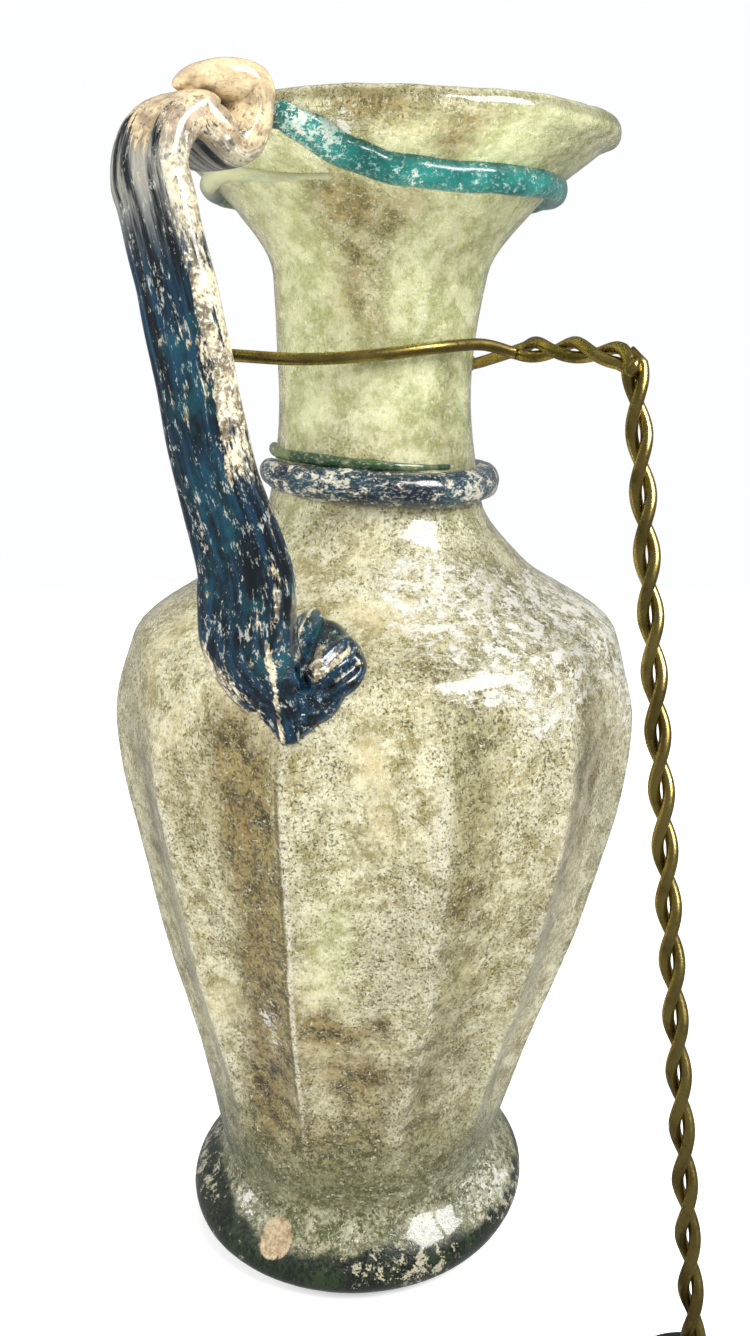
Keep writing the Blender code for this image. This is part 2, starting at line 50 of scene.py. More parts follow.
def hill(distance, width, power=2):
    # 1 in the middle, fading out beyond the width
    return math.exp(-(abs(distance / width) ** power))


def curveThrough(stations, value):
    # a smooth curve through (place, size) pairs that never overshoots them
    places = [place for place, _ in stations]
    sizes = [size for _, size in stations]
    steps = [b - a for a, b in zip(places, places[1:])]
    slopes = [(b - a) / step for a, b, step in zip(sizes, sizes[1:], steps)]
    tangents = [slopes[0]]
    for left, right in zip(slopes, slopes[1:]):
        tangents.append(2.0 * left * right / (left + right) if left * right > 0.0 else 0.0)
    tangents.append(slopes[-1])
    value = min(places[-1], max(places[0], value))
    index = max(i for i in range(len(steps)) if value >= places[i])
    step = steps[index]
    t = (value - places[index]) / step
    rise = sizes[index + 1] - sizes[index]
    start, end = tangents[index] * step, tangents[index + 1] * step
    return sizes[index] + start * t + (3 * rise - 2 * start - end) * t**2 + (start + end - 2 * rise) * t**3


def splineThrough(points, perSpan):
    # Catmull-Rom through points of any length, perSpan steps between each two
    points = [Vector(point) for point in points]
    ends = [2 * points[0] - points[1]] + points + [2 * points[-1] - points[-2]]
    run = []
    for a, b, c, d in zip(ends, ends[1:], ends[2:], ends[3:]):
        for i in range(perSpan):
            t = i / perSpan
            near = 2 * b + (c - a) * t
            far = (2 * a - 5 * b + 4 * c - d) * t**2 + (3 * b - a - 3 * c + d) * t**3
            run.append(0.5 * (near + far))
    run.append(points[-1])
    return run


def evenly(points, spacing):
    # the same line, with a point every spacing
    total = sum((b - a).length for a, b in zip(points, points[1:]))
    count = max(2, round(total / spacing))
    run, walked, wanted = [points[0]], 0.0, total / count
    for a, b in zip(points, points[1:]):
        step = (b - a).length
        while walked + step >= wanted - 1e-9 and len(run) < count:
            run.append(a.lerp(b, (wanted - walked) / step))
            wanted += total / count
        walked += step
    run.append(points[-1])
    return run


def noiseAt(place, size):
    return noise.noise(place * size)


def newObject(name, data):
    made = bpy.data.objects.new(name, data)
    bpy.context.scene.collection.objects.link(made)
    return made


def finishPiece(name, shape, material, node):
    # a bmesh becomes a smooth piece that stands for its CAD node
    bmesh.ops.recalc_face_normals(shape, faces=shape.faces)
    mesh = bpy.data.meshes.new(name)
    shape.to_mesh(mesh)
    shape.free()
    mesh.materials.append(material)
    mesh.shade_smooth()
    piece = newObject(name, mesh)
    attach(piece, "root")
    if node:
        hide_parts(node)
    return piece


def paintPoints(piece, name, kind, values):
    layer = piece.data.attributes.new(name, kind, "POINT")
    field = {"FLOAT": "value", "FLOAT_VECTOR": "vector", "FLOAT_COLOR": "color"}[kind]
    layer.data.foreach_set(field, values)


# helpers for shader nodes

def colourOf(red, green, blue):
    # screen values 0-255 to the linear values that a shader takes
    made = []
    for value in (red, green, blue):
        share = value / 255.0
        made.append(share / 12.92 if share <= 0.04045 else ((share + 0.055) / 1.055) ** 2.4)
    return (*made, 1.0)


def setInputs(node, inputs):
    # each input gets a plain value, or a link from a socket
    for name, value in inputs.items():
        if isinstance(value, bpy.types.NodeSocket):
            node.id_data.links.new(value, node.inputs[name])
        else:
            node.inputs[name].default_value = value


def addNode(tree, kind, inputs, **settings):
    node = tree.nodes.new(kind)
    for name, value in settings.items():
        setattr(node, name, value)
    setInputs(node, inputs)
    return node.outputs


def addBeside(kind, inputs, **settings):
    # a node in the tree that its linked inputs come from
    tree = next(value.id_data for value in inputs.values() if isinstance(value, bpy.types.NodeSocket))
    return addNode(tree, kind, inputs, **settings)


def addMath(operation, first, second):
    return addBeside("ShaderNodeMath", {0: first, 1: second}, operation=operation)[0]


def times(first, second):
    return addMath("MULTIPLY", first, second)


def plus(first, *others):
    for other in others:
        first = addMath("ADD", first, other)
    return first


def apart(value, middle):
    return addMath("ABSOLUTE", plus(value, -middle), 0.0)


def blend(share, first, second):
    # each colour is a socket or the red, green and blue of colourOf
    first, second = [colourOf(*colour) if isinstance(colour, tuple) else colour for colour in (first, second)]
    return addBeside("ShaderNodeMix", {0: share, 6: first, 7: second}, data_type="RGBA")[2]


def mapTo(value, low, high, toLow=0.0, toHigh=1.0):
    limits = {"Value": value, "From Min": low, "From Max": high, "To Min": toLow, "To Max": toHigh}
    return addBeside("ShaderNodeMapRange", limits, interpolation_type="SMOOTHSTEP")[0]


def noiseOf(vector, scale, detail=5.0, roughness=0.6, distortion=0.0):
    return addBeside("ShaderNodeTexNoise", {"Vector": vector, "Scale": scale, "Detail": detail,
                                            "Roughness": roughness, "Distortion": distortion})["Fac"]


def stretched(vector, scale):
    return addBeside("ShaderNodeMapping", {"Vector": vector, "Scale": scale})[0]


def heightOf(vector):
    return addBeside("ShaderNodeSeparateXYZ", {"Vector": vector})[2]


def attributeOf(shader, name):
    return addNode(shader.id_data, "ShaderNodeAttribute", {}, attribute_name=name)


def paintedOf(shader, name):
    # the three channels and the alpha of a painted attribute
    read = attributeOf(shader, name)
    parts = addBeside("ShaderNodeSeparateColor", {"Color": read["Color"]})
    return parts[0], parts[1], parts[2], read["Alpha"]


def linkSurface(shader, colour, rough, height, strength, relief):
    bump = addBeside("ShaderNodeBump", {"Height": height, "Strength": strength, "Distance": relief})
    setInputs(shader, {"Base Color": colour, "Roughness": rough, "Normal": bump[0]})


def linkGlass(shader, colour, rough, height, relief, transmission):
    linkSurface(shader, colour, rough, height, 0.6, relief)
    setInputs(shader, {"Transmission Weight": transmission, "IOR": 1.5, "Coat Weight": 0.8,
                       "Coat Roughness": 0.08})


def newGroup(name, inputs, outputs):
    tree = bpy.data.node_groups.new(name, "ShaderNodeTree")
    for label, kind in inputs:
        tree.interface.new_socket(name=label, in_out="INPUT", socket_type=kind)
    for label, kind in outputs:
        tree.interface.new_socket(name=label, in_out="OUTPUT", socket_type=kind)
    return tree, tree.nodes.new("NodeGroupInput").outputs, tree.nodes.new("NodeGroupOutput").inputs


def buildCrustGroup():
    # patchy weathering: Cover 0 leaves bare glass, 1 hides it
    tree, given, out = newGroup(
        "weatheringCrust",
        [("Vector", "NodeSocketVector"), ("Size", "NodeSocketFloat"), ("Cover", "NodeSocketFloat"),
         ("Edge", "NodeSocketFloat")],
        [("Mask", "NodeSocketFloat"), ("Height", "NodeSocketFloat")])
    broad = noiseOf(given["Vector"], given["Size"], 5.0, 0.66, 0.3)
    fine = noiseOf(given["Vector"], times(given["Size"], 4.7), 3.0, 0.7)
    mixed = plus(times(broad, 0.66), times(fine, 0.34))
    level = plus(times(addMath("SUBTRACT", 0.5, given["Cover"]), 0.52), 0.5)
    bare = addMath("SUBTRACT", level, given["Edge"])
    mask = mapTo(mixed, bare, plus(level, given["Edge"]))
    tree.links.new(mask, out["Mask"])
    tree.links.new(times(mask, plus(times(fine, 0.8), 0.5)), out["Height"])
    return tree


def crustOf(vector, size, cover, edge=0.03):
    return addBeside("ShaderNodeGroup", {"Vector": vector, "Size": size, "Cover": cover, "Edge": edge},
                     node_tree=crustGroup)


def newMaterial(name):
    made = bpy.data.materials.new(name)
    made.use_nodes = True
    place = addNode(made.node_tree, "ShaderNodeTexCoord", {})["Object"]
    return made, made.node_tree.nodes["Principled BSDF"], place


# the blown vessel

jug = {
    "wall": [(0.015, 0.0265), (0.037, 0.0315), (0.07, 0.0403), (0.104, 0.0458), (0.1185, 0.0423),
             (0.13, 0.0264), (0.141, 0.0182), (0.159, 0.0162), (0.1775, 0.0175), (0.188, 0.0246),
             (0.1964, 0.0347)],
    "height": 0.2,
    "mouthRadius": 0.0365,
    "lipRound": 0.0023,
    "thickness": 0.0022,
    "bodyLean": 0.0035,
    "mouthLean": 0.002,
    "ribs": 12,
    "ribAzimuth": -18.0,
    "ribDepth": 0.0024,
    "ribInside": 0.5,
    "footWobble": 0.0014,
    "segments": 300,
    "wallSpan": (0.015, 0.196),
    "hollowSpan": (0.019, 0.195),
    "hollowFloor": 0.0185,
    "solidBelow": 0.0105,
    "foot": [(0.0, 0.0003), (0.003, 0.0001), (0.0058, 0.0), (0.0069, 0.0003), (0.0077, 0.001),
             (0.0095, 0.0014), (0.018, 0.0014), (0.0197, 0.001), (0.0208, 0.0002), (0.0228, 0.0),
             (0.0262, 0.0), (0.0288, 0.0004), (0.0311, 0.0017), (0.0325, 0.0033), (0.033, 0.0051),
             (0.0327, 0.007), (0.0317, 0.0087), (0.0302, 0.0103), (0.0286, 0.0117), (0.0272, 0.0133),
             (0.0266, 0.0148)],
}


@lru_cache(maxsize=None)
def wallRadius(height):
    return curveThrough(jug["wall"], height)


def wallNormal(height):
    step = 0.0004
    rise = wallRadius(height + step) - wallRadius(height - step)
    length = math.hypot(2 * step, rise)
    return 2 * step / length, -rise / length


@lru_cache(maxsize=None)
def leanAt(height):
    body = jug["bodyLean"] * smoothStep(0.0, 0.0936, height)
    return body + jug["mouthLean"] * smoothStep(0.159, 0.2, height)


def placeAt(radius, azimuth, height):
    turn = math.radians(azimuth)
    return Vector((radius * math.sin(turn) + leanAt(height), -radius * math.cos(turn), height))


def azimuthOf(point):
    return math.degrees(math.atan2(point.x - leanAt(point.z), -point.y))


def directionAt(line, index):
    return (line[min(len(line) - 1, index + 1)] - line[max(0, index - 1)]).normalized()


def ribTurn(height, azimuth):
    # which rib: a whole number on each crest
    turn = (azimuth - jug["ribAzimuth"]) * jug["ribs"] / 360.0
    return turn + 0.035 * math.sin(38.0 * height + 2.1 * round(turn))


def ribRelief(height, azimuth):
    # thin ridges with shallow flutes between them, each a little different
    turn = ribTurn(height, azimuth)
    crest = round(turn)
    flute = math.floor(turn) % jug["ribs"]
    sharp = 0.05 if crest % jug["ribs"] == 0 else 0.11 + 0.05 * math.sin(5.3 * crest)
    across = 2.0 * abs(turn - crest)
    across = (math.hypot(across, sharp) - sharp) / (math.hypot(1.0, sharp) - sharp)
    depth = jug["ribDepth"] * (0.92 + 0.16 * math.sin(2.9 * flute + 0.6))
    low = smoothStep(0.018, 0.048, height)
    high = 1.0 - smoothStep(0.098, 0.122, height)
    bead = 0.00022 * hill(2.0 * (turn - crest), 0.09)
    return (depth * across * (2.0 - across) - bead) * low * high


def wallPlace(lift, azimuth, height):
    # a point that stands lift proud of the ribbed outer wall
    outward, upward = wallNormal(height)
    radius = wallRadius(height) - ribRelief(height, azimuth)
    return placeAt(radius + lift * outward, azimuth, height + lift * upward)


def vesselSection():
    lip = Vector((jug["mouthRadius"] - jug["lipRound"], jug["height"] - jug["lipRound"]))
    section = splineThrough(jug["foot"], 3)
    low, high = jug["wallSpan"]
    heights = [low + (high - low) * i / 138 for i in range(139)]
    section += [Vector((wallRadius(height), height)) for height in heights]
    for i in range(17):
        angle = math.radians(-22.0 + 190.0 * i / 16)
        section.append(lip + jug["lipRound"] * Vector((math.cos(angle), math.sin(angle))))
    low, high = jug["hollowSpan"]
    for i in range(68):
        height = high + (low - high) * i / 67
        outward, upward = wallNormal(height)
        section.append(Vector((wallRadius(height) - jug["thickness"] * outward,
                               height - jug["thickness"] * upward)))
    floor, bend = jug["hollowFloor"], 0.006
    side = wallRadius(floor) - jug["thickness"] - bend
    for i in range(9):
        angle = math.radians(-90.0 * i / 8)
        section.append(Vector((side + bend * math.cos(angle), floor + bend * math.sin(angle))))
    section += [Vector((0.012, 0.0121)), Vector((0.006, 0.0117)), Vector((0.0, 0.0116))]
    return section


def isInside(radius, height):
    if height < jug["solidBelow"]:
        return False
    if height > jug["hollowSpan"][1]:
        return radius < 0.033 and height < 0.1975
    outward, _ = wallNormal(height)
    return radius < wallRadius(height) - 0.5 * jug["thickness"] / outward


def spinOnce(section, segments):
    shape = bmesh.new()
    corners = [shape.verts.new((point[0], 0.0, point[1])) for point in section]
    edges = [shape.edges.new(pair) for pair in zip(corners, corners[1:])]
    bmesh.ops.spin(shape, geom=corners + edges, cent=(0, 0, 0), axis=(0, 0, 1), angle=math.tau,
                   steps=segments, use_merge=True)
    bmesh.ops.remove_doubles(shape, verts=shape.verts, dist=1e-6)
    return shape


# stains and deposits on the wall, with some painted flute shade: azimuth, height mm, half width degrees, half
# height mm, strength
marks = {
    # brown: stains; the bands near -27 and 20 degrees are partly stain and partly painted shade down one side
    # of a flute
    "brown": [
        (-28, 104, 8, 14, 1.0), (-26, 84, 7.5, 22, 1.2), (-27, 60, 8, 18, 1.0), (-33, 42, 9, 13, 0.9),
        (20, 86, 8, 26, 0.45), (-13, 60, 4, 3, 1.0), (-8, 57.5, 7, 3, 1.1), (3, 60, 4, 3, 0.7),
        (-5, 48, 16, 7, 0.8), (40, 70, 10, 26, 0.3), (-47, 92, 8, 30, 0.35), (54, 96, 5, 18, 0.7),
        (8, 122, 14, 4, 0.3), (-2, 184, 18, 5, 0.45), (-20, 188, 12, 4, 0.6), (-14, 176, 11, 6, 0.7),
        (2, 169, 9, 5, 0.5), (-38, 149, 12, 4, 0.6), (0, 187, 30, 4, 0.25), (-10, 34, 30, 8, 0.5),
        (20, 46, 18, 9, 0.5), (120, 90, 16, 30, 0.6), (178, 60, 18, 26, 0.6), (-110, 84, 14, 34, 0.6),
        (150, 180, 26, 8, 0.6), (-4, 197, 12, 2.5, 0.9), (18, 195, 8, 4, 0.8), (-60, 92, 6, 26, 0.5),
    ],
    # grey: olive-grey stains; the bands near 20 degrees are partly stain and partly painted shade down one
    # side of a flute
    "grey": [
        (19, 106, 7, 13, 0.7), (19, 86, 6, 26, 0.7), (21, 54, 8, 18, 0.7), (-10, 28, 20, 9, 1.0),
        (46, 126, 26, 8, 0.8), (20, 120, 20, 5, 0.4), (-2, 72, 4, 30, 0.25), (-42, 30, 14, 14, 0.9),
        (28, 30, 22, 10, 0.8), (47, 100, 4, 20, 0.9), (-32, 74, 5, 34, 0.5), (-13, 23, 90, 6, 0.9),
        (62, 122, 22, 9, 0.6), (74, 104, 8, 18, 0.6), (46, 158, 14, 14, 0.6), (-52, 156, 8, 20, 0.3),
        (-66, 74, 10, 40, 0.6), (-44, 98, 5, 14, 0.4), (80, 60, 12, 40, 0.8), (112, 70, 6, 40, 0.6),
        (142, 90, 6, 40, 0.7), (-168, 80, 6, 40, 0.7), (-138, 70, 7, 40, 0.6), (-96, 70, 6, 40, 0.6),
        (180, 28, 80, 12, 0.8), (60, 193, 24, 6, 0.8), (46, 180, 20, 9, 0.5), (30, 152, 30, 10, 0.3),
    ],
    "white": [
        (30, 128, 24, 8, 1.0), (62, 122, 26, 10, 1.0), (12, 130, 16, 6, 0.8), (38, 113, 9, 5, 0.9),
        (70, 108, 8, 12, 0.7), (27, 118, 14, 2.5, 0.9), (28, 173, 18, 14, 0.5), (-28, 58, 4, 8, 0.9),
        (-12, 44, 5, 6, 0.5), (-8, 113, 12, 4, 0.5), (100, 120, 30, 12, 0.8), (170, 122, 40, 12, 0.9),
        (-120, 120, 40, 12, 0.8), (14, 18, 40, 7, 0.55), (-14, 195, 10, 3, 1.0), (170, 170, 50, 20, 0.5),
        (60, 10, 24, 5, 0.9), (-52, 12, 16, 4, 0.8),
    ],
    "clear": [
        (-9, 76, 6, 14, 0.7), (-48, 156, 18, 22, 1.0), (10, 158, 40, 12, 0.5), (50, 165, 26, 26, 1.0),
        (0, 180, 180, 16, 0.45), (0, 162, 180, 14, 0.45), (-40, 176, 18, 14, 0.6), (0, 192, 180, 6, 0.6),
        (50, 195, 24, 8, 1.0), (-55, 60, 6, 30, 0.6), (16, 180, 12, 10, 0.6), (44, 40, 10, 20, 0.5),
        (0, 23, 60, 6, 0.6),
    ],
}


def markAt(name, azimuth, height):
    total = 0.0
    for middle, level, wide, tall, strength in marks[name]:
        turned = (azimuth - middle + 180.0) % 360.0 - 180.0
        total += strength * hill(turned, wide) * hill(1000.0 * height - level, tall)
    return min(1.5, total)


def buildVessel(material):
    shape = spinOnce(vesselSection(), jug["segments"])
    stainsAndShade, glassTone, ribWave = [], [], []
    for corner in shape.verts:
        x, y, height = corner.co
        radius = math.hypot(x, y)
        azimuth = math.degrees(math.atan2(x, -y)) if radius > 1e-6 else 0.0
        inside = isInside(radius, height)
        away = Vector((x, y, 0.0)).normalized() if radius > 1e-6 else Vector((0, 0, 0))
        place = Vector(corner.co)
        if radius > 1e-6 and height > jug["solidBelow"]:
            radius -= (jug["ribInside"] if inside else 1.0) * ribRelief(height, azimuth)
        above = smoothStep(0.0, 0.005, height)
        handMade = 0.00022 * noiseAt(place, 42.0) + 0.00009 * noiseAt(place, 130.0)
        handMade += 0.00005 * noiseAt(Vector((x * 2.4, y * 2.4, height * 0.6)), 240.0)
        if radius > 0.002:
            radius += above * handMade * (0.5 if inside else 1.0)
        outer = smoothStep(0.007, 0.033, radius)
        tilt = jug["footWobble"] * above * (1.0 - smoothStep(0.0098, 0.03, height)) * outer
        corner.co = placeAt(radius, azimuth, height)
        corner.co.z += tilt * math.sin(math.radians(azimuth))
        if height < jug["solidBelow"] and not inside and radius < 0.0075:
            rough = abs(noiseAt(place, 420.0)) + 0.6 * abs(noiseAt(place, 900.0))
            corner.co.z += 0.0005 * rough * (1.0 - smoothStep(0.004, 0.0075, radius))
        if above > 0.99 and height > 0.1968:
            corner.co.z += 0.00035 * noiseAt(away, 2.6) + 0.00012 * noiseAt(away, 9.0)
        stainsAndShade.append((markAt("brown", azimuth, height), markAt("grey", azimuth, height),
                       markAt("white", azimuth, height), 1.0))
        # the foot's dark band: thick bottle-green glass, plus painted shade as if it stood on a dark base
        boundary = 0.0102 + 0.0028 * smoothStep(-34.0, -80.0, azimuth)
        boundary -= 0.0016 * smoothStep(10.0, 38.0, azimuth)
        boundary += 0.0016 * noiseAt(place, 260.0)
        footDark = 1.0 - smoothStep(boundary - 0.0007, boundary + 0.0007, height)
        blister = 0.0 if inside else hill(azimuth + 29.0, 6.5) * hill(height - 0.0102, 0.003)
        lipEdge = hill(height - 0.1986, 0.0009)
        glassTone.append((footDark, markAt("clear", azimuth, height), blister, lipEdge))
        turn = math.tau * ribTurn(height, azimuth)
        fade = smoothStep(0.022, 0.05, height) * (1.0 - smoothStep(0.1, 0.118, height))
        wave, crest = 0.5 + 0.5 * math.sin(turn), 0.5 + 0.5 * math.cos(turn)
        ribWave.append((wave, crest, 0.0 if inside else fade, hill(azimuth - jug["ribAzimuth"], 8.0)))
    piece = finishPiece("vessel", shape, material, "jug_body")
    for name, values in (("stainsAndShade", stainsAndShade), ("glassTone", glassTone), ("ribWave", ribWave)):
        paintPoints(piece, name, "FLOAT_COLOR", [channel for value in values for channel in value])


def paleGlass():
    made, shader, place = newMaterial("weatheredPaleGlass")
    brown, grey, white, _ = paintedOf(shader, "stainsAndShade")
    dark, clear, blister, lipEdge = paintedOf(shader, "glassTone")
    wave, crest, ribbed, mainRib = paintedOf(shader, "ribWave")
    soft = noiseOf(stretched(place, (1.0, 1.0, 0.5)), 80.0, 4.0, 0.62)
    cloud = noiseOf(place, 260.0, 6.0, 0.72, 0.2)
    grain = noiseOf(stretched(place, (1.0, 1.0, 0.8)), 1200.0, 4.0, 0.75)
    tiny = noiseOf(place, 2300.0, 2.0, 0.6)
    mottle = plus(times(cloud, 0.5), times(grain, 0.5))
    # cream patina over pale glass, mottled finer than a millimetre
    colour = blend(mapTo(mottle, 0.41, 0.585), (160, 147, 92), (255, 251, 216))
    colour = blend(mapTo(soft, 0.5, 0.72, 0.0, 0.6), colour, (200, 196, 162))
    colour = blend(mapTo(soft, 0.46, 0.28, 0.0, 0.6), colour, (238, 220, 170))
    clearGlass = blend(mapTo(cloud, 0.4, 0.6), (190, 196, 134), (242, 244, 196))
    colour = blend(times(clear, 0.75), colour, clearGlass)
    # brown and olive-grey stains, partly painted flute shade, broken up by the same mottling
    patchy = noiseOf(stretched(place, (1.0, 1.0, 0.6)), 170.0, 5.0, 0.68)
    broken = plus(times(patchy, 2.6), times(grain, 1.6), -1.1)
    spotted = mapTo(mottle, 0.43, 0.56)
    greyColour = blend(spotted, (80, 80, 34), (178, 172, 120))
    colour = blend(mapTo(times(grey, broken), 0.05, 1.1, 0.0, 0.85), colour, greyColour)
    brownColour = blend(spotted, (58, 48, 10), (176, 154, 90))
    brownColour = blend(mapTo(patchy, 0.58, 0.7, 0.0, 0.35), brownColour, (160, 110, 50))
    brownShare = mapTo(times(brown, broken), 0.05, 1.0, 0.0, 0.96)
    colour = blend(brownShare, colour, brownColour)
    # darker olive low on the body, towards the foot
    low = mapTo(heightOf(place), 0.034, 0.018)
    colour = blend(times(low, mapTo(mottle, 0.44, 0.58, 0.95, 0.45)), colour, (84, 88, 44))
    # rib crests are painted pale, partly as wear and partly as a painted highlight line, and the sharpest one
    # gets a painted shade line beside it
    onCrest = times(ribbed, mapTo(crest, 0.6, 0.9))
    fromCrest = apart(wave, 0.5)
    wide = mapTo(mainRib, 0.0, 1.0, 0.36, 0.1)
    crestWearAndHighlight = times(onCrest, mapTo(fromCrest, 0.02, wide, 1.0, 0.0))
    crestWearAndHighlight = times(crestWearAndHighlight, mapTo(plus(mottle, times(mainRib, 0.05)), 0.45, 0.58, 0.1, 0.9))
    colour = blend(crestWearAndHighlight, colour, (250, 246, 220))
    # a painted dark shade line beside the sharpest crest
    beside = apart(wave, 0.36)
    crestShadeLine = times(times(onCrest, mainRib), mapTo(beside, 0.02, 0.07, 0.8, 0.0))
    colour = blend(crestShadeLine, colour, (104, 96, 44))
    # short wavy strokes, dark pits, and pale flecks that are partly crust and partly painted glints
    wavy = noiseOf(place, 640.0, 2.0, 0.5, 2.5)
    dashed = times(mapTo(grain, 0.48, 0.56), mapTo(soft, 0.36, 0.56, 0.25, 0.9))
    weathered = mapTo(clear, 0.3, 1.0, 1.0, 0.3)
    strokes = times(mapTo(apart(wavy, 0.5), 0.014, 0.045, 1.0, 0.0), times(dashed, weathered))
    colour = blend(times(strokes, 0.75), colour, (106, 92, 44))
    # pale wavy lines, partly painted glints
    paleStrokeGlints = mapTo(apart(wavy, 0.58), 0.01, 0.03, 1.0, 0.0)
    colour = blend(times(paleStrokeGlints, mapTo(grain, 0.52, 0.44)), colour, (252, 248, 224))
    pitted = mapTo(plus(soft, times(plus(brown, grey), 0.12)), 0.36, 0.6, 0.64, 0.56)
    pits = times(mapTo(tiny, pitted, plus(pitted, 0.05)), weathered)
    colour = blend(times(pits, 0.85), colour, (84, 74, 34))
    flecksAndGlints = crustOf(stretched(place, (0.8, 0.8, 1.3)), 1000.0, mapTo(white, 0.0, 1.0, 0.28, 0.46), 0.03)
    colour = blend(times(flecksAndGlints["Mask"], 0.85), colour, (252, 248, 224))
    # white deposits that stand on the surface
    deposit = crustOf(stretched(place, (0.75, 0.75, 1.1)), 480.0, mapTo(white, 0.0, 1.0, 0.05, 0.47), 0.012)
    colour = blend(deposit["Mask"], colour, (255, 253, 242))
    colour = blend(mapTo(lipEdge, 0.3, 0.9, 0.0, 0.5), colour, (104, 98, 50))
    # the foot: bottle-green where the glass is thickest, darkened further by painted shade as if it stood on
    # a dark base, with flakes of crust, and one tan blister
    footFlakes = crustOf(place, 560.0, mapTo(soft, 0.35, 0.65, 0.18, 0.46), 0.02)
    darkColour = blend(mapTo(mottle, 0.45, 0.62), (3, 13, 4), (34, 54, 18))
    flakeColour = blend(grain, (170, 160, 120), (232, 226, 200))
    darkColour = blend(footFlakes["Mask"], darkColour, flakeColour)
    colour = blend(dark, colour, darkColour)
    tanShare = mapTo(times(blister, plus(times(cloud, 1.6), 0.2)), 0.4, 0.5)
    tanColour = blend(mapTo(mottle, 0.42, 0.58), (168, 136, 92), (226, 204, 166))
    colour = blend(tanShare, colour, tanColour)
    crusted = addMath("MAXIMUM", deposit["Mask"], mapTo(mottle, 0.45, 0.6, 0.0, 0.5))
    rough = plus(times(crusted, 0.34), mapTo(grain, 0.3, 0.7, 0.14, 0.28))
    height = plus(times(mottle, 2.0), times(deposit["Height"], 1.2), times(flecksAndGlints["Height"], 0.5),
                  times(pits, -0.7), times(strokes, -0.5))
    linkGlass(shader, colour, rough, height, 0.00022, 0.46)
    return made


# the handle: a combed strap, folded over at the top and clawed to the shoulder

handle = {
    "width": 0.0118,
    "thickness": 0.0056,
    "reach": 0.0516,
    "topAzimuth": -36.5,
    "footAzimuth": -17.0,
    "clawWidth": 0.015,
    "thumbRise": 0.0032,
    "sides": 88,
    "grooves": [(-0.74, 0.05, 0.3), (-0.48, 0.06, 0.34), (-0.2, 0.045, 0.42), (-0.02, 0.05, 0.26),
                (0.18, 0.05, 0.46), (0.4, 0.045, 0.3), (0.62, 0.06, 0.38), (0.84, 0.05, 0.22)],
    # lines on the claw in azimuth and height mm, then the ridge or groove they press (mm, half width mm)
    # and the crust along them (share, half width mm)
    "clawLines": [
        (((-18.5, 133.0), (-17.8, 129.5), (-17.4, 126.0), (-17.1, 121.5), (-17.1, 117.0), (-16.2, 112.6)),
         1.0, 0.75, 0.9, 0.45),
        (((-15.6, 134.0), (-15.2, 131.0), (-14.7, 127.5), (-14.4, 124.0), (-14.1, 120.6), (-13.6, 119.4)),
         -1.1, 0.75, -1.2, 0.8),
        (((-32.5, 131.0), (-32.0, 127.0), (-30.5, 123.0), (-26.5, 119.5), (-21.5, 116.6)),
         0.0, 1.0, 0.7, 2.2),
        (((-14.2, 119.4), (-11.6, 119.2), (-8.9, 119.4), (-6.4, 120.3), (-4.2, 121.4)), -1.1, 0.7, -0.9, 0.7),
        (((-13.0, 120.2), (-10.4, 121.5), (-8.2, 123.0), (-5.8, 124.3)), 1.0, 0.7, 0.9, 0.55),
        (((-7.4, 120.6), (-5.0, 121.9), (-2.9, 122.9)), 0.5, 0.55, 0.8, 0.6),
        (((-14.6, 116.2), (-11.0, 116.5), (-8.4, 117.2)), -0.4, 0.4, 0.5, 0.35),
    ],
    "fan": [(-15.7, 111.3), (-13.6, 112.4), (-10.3, 114.4), (-6.0, 117.9), (-2.4, 120.4), (-1.6, 122.3),
            (-3.0, 123.9), (-7.0, 125.6), (-13.5, 127.0), (-20.8, 127.9), (-25.0, 125.0), (-25.0, 120.0),
            (-21.5, 115.6), (-18.6, 112.6)],
    "fanMiddle": (-13.0, 119.5),
    "fanScale": (0.76, 1.12),
}


def onShoulder(azimuth, heightMm):
    # millimetres across and up the shoulder from the middle of the fan
    middle, scale = handle["fanMiddle"], handle["fanScale"]
    return Vector(((azimuth - middle[0]) * scale[0], (heightMm - middle[1]) * scale[1]))


@lru_cache(maxsize=None)
def shoulderLine(line):
    corners = [onShoulder(*corner) for corner in line]
    return [(a, b - a, (b - a).length_squared) for a, b in zip(corners, corners[1:])]


def nearLine(line, place):
    nearest = 1e9
    for start, along, squared in shoulderLine(line):
        share = min(1.0, max(0.0, (place - start).dot(along) / squared))
        nearest = min(nearest, (place - start - share * along).length)
    return nearest


def clawRelief(azimuth, height):
    # ridges and folds pressed into the claw, in metres
    place = onShoulder(azimuth, 1000.0 * height)
    relief = -0.6 * hill((place - onShoulder(-13.2, 123.2)).length, 3.2)
    for line, rise, wide, _, _ in handle["clawLines"]:
        relief += rise * hill(nearLine(line, place), wide)
    return 0.001 * relief


def clawCrust(azimuth, height):
    # 1 where the claw is crusted white or cream
    place = onShoulder(azimuth, 1000.0 * height)
    crust = 0.95 * hill((place - onShoulder(-12.6, 123.0)).length, 2.3, 4)
    for line, _, _, share, wide in handle["clawLines"]:
        crust += share * hill(nearLine(line, place), wide)
    return min(1.0, max(0.0, crust))


def paintStrap(piece, coords, crusts):
    paintPoints(piece, "strapPlace", "FLOAT_VECTOR", coords)
    paintPoints(piece, "crusting", "FLOAT", crusts)


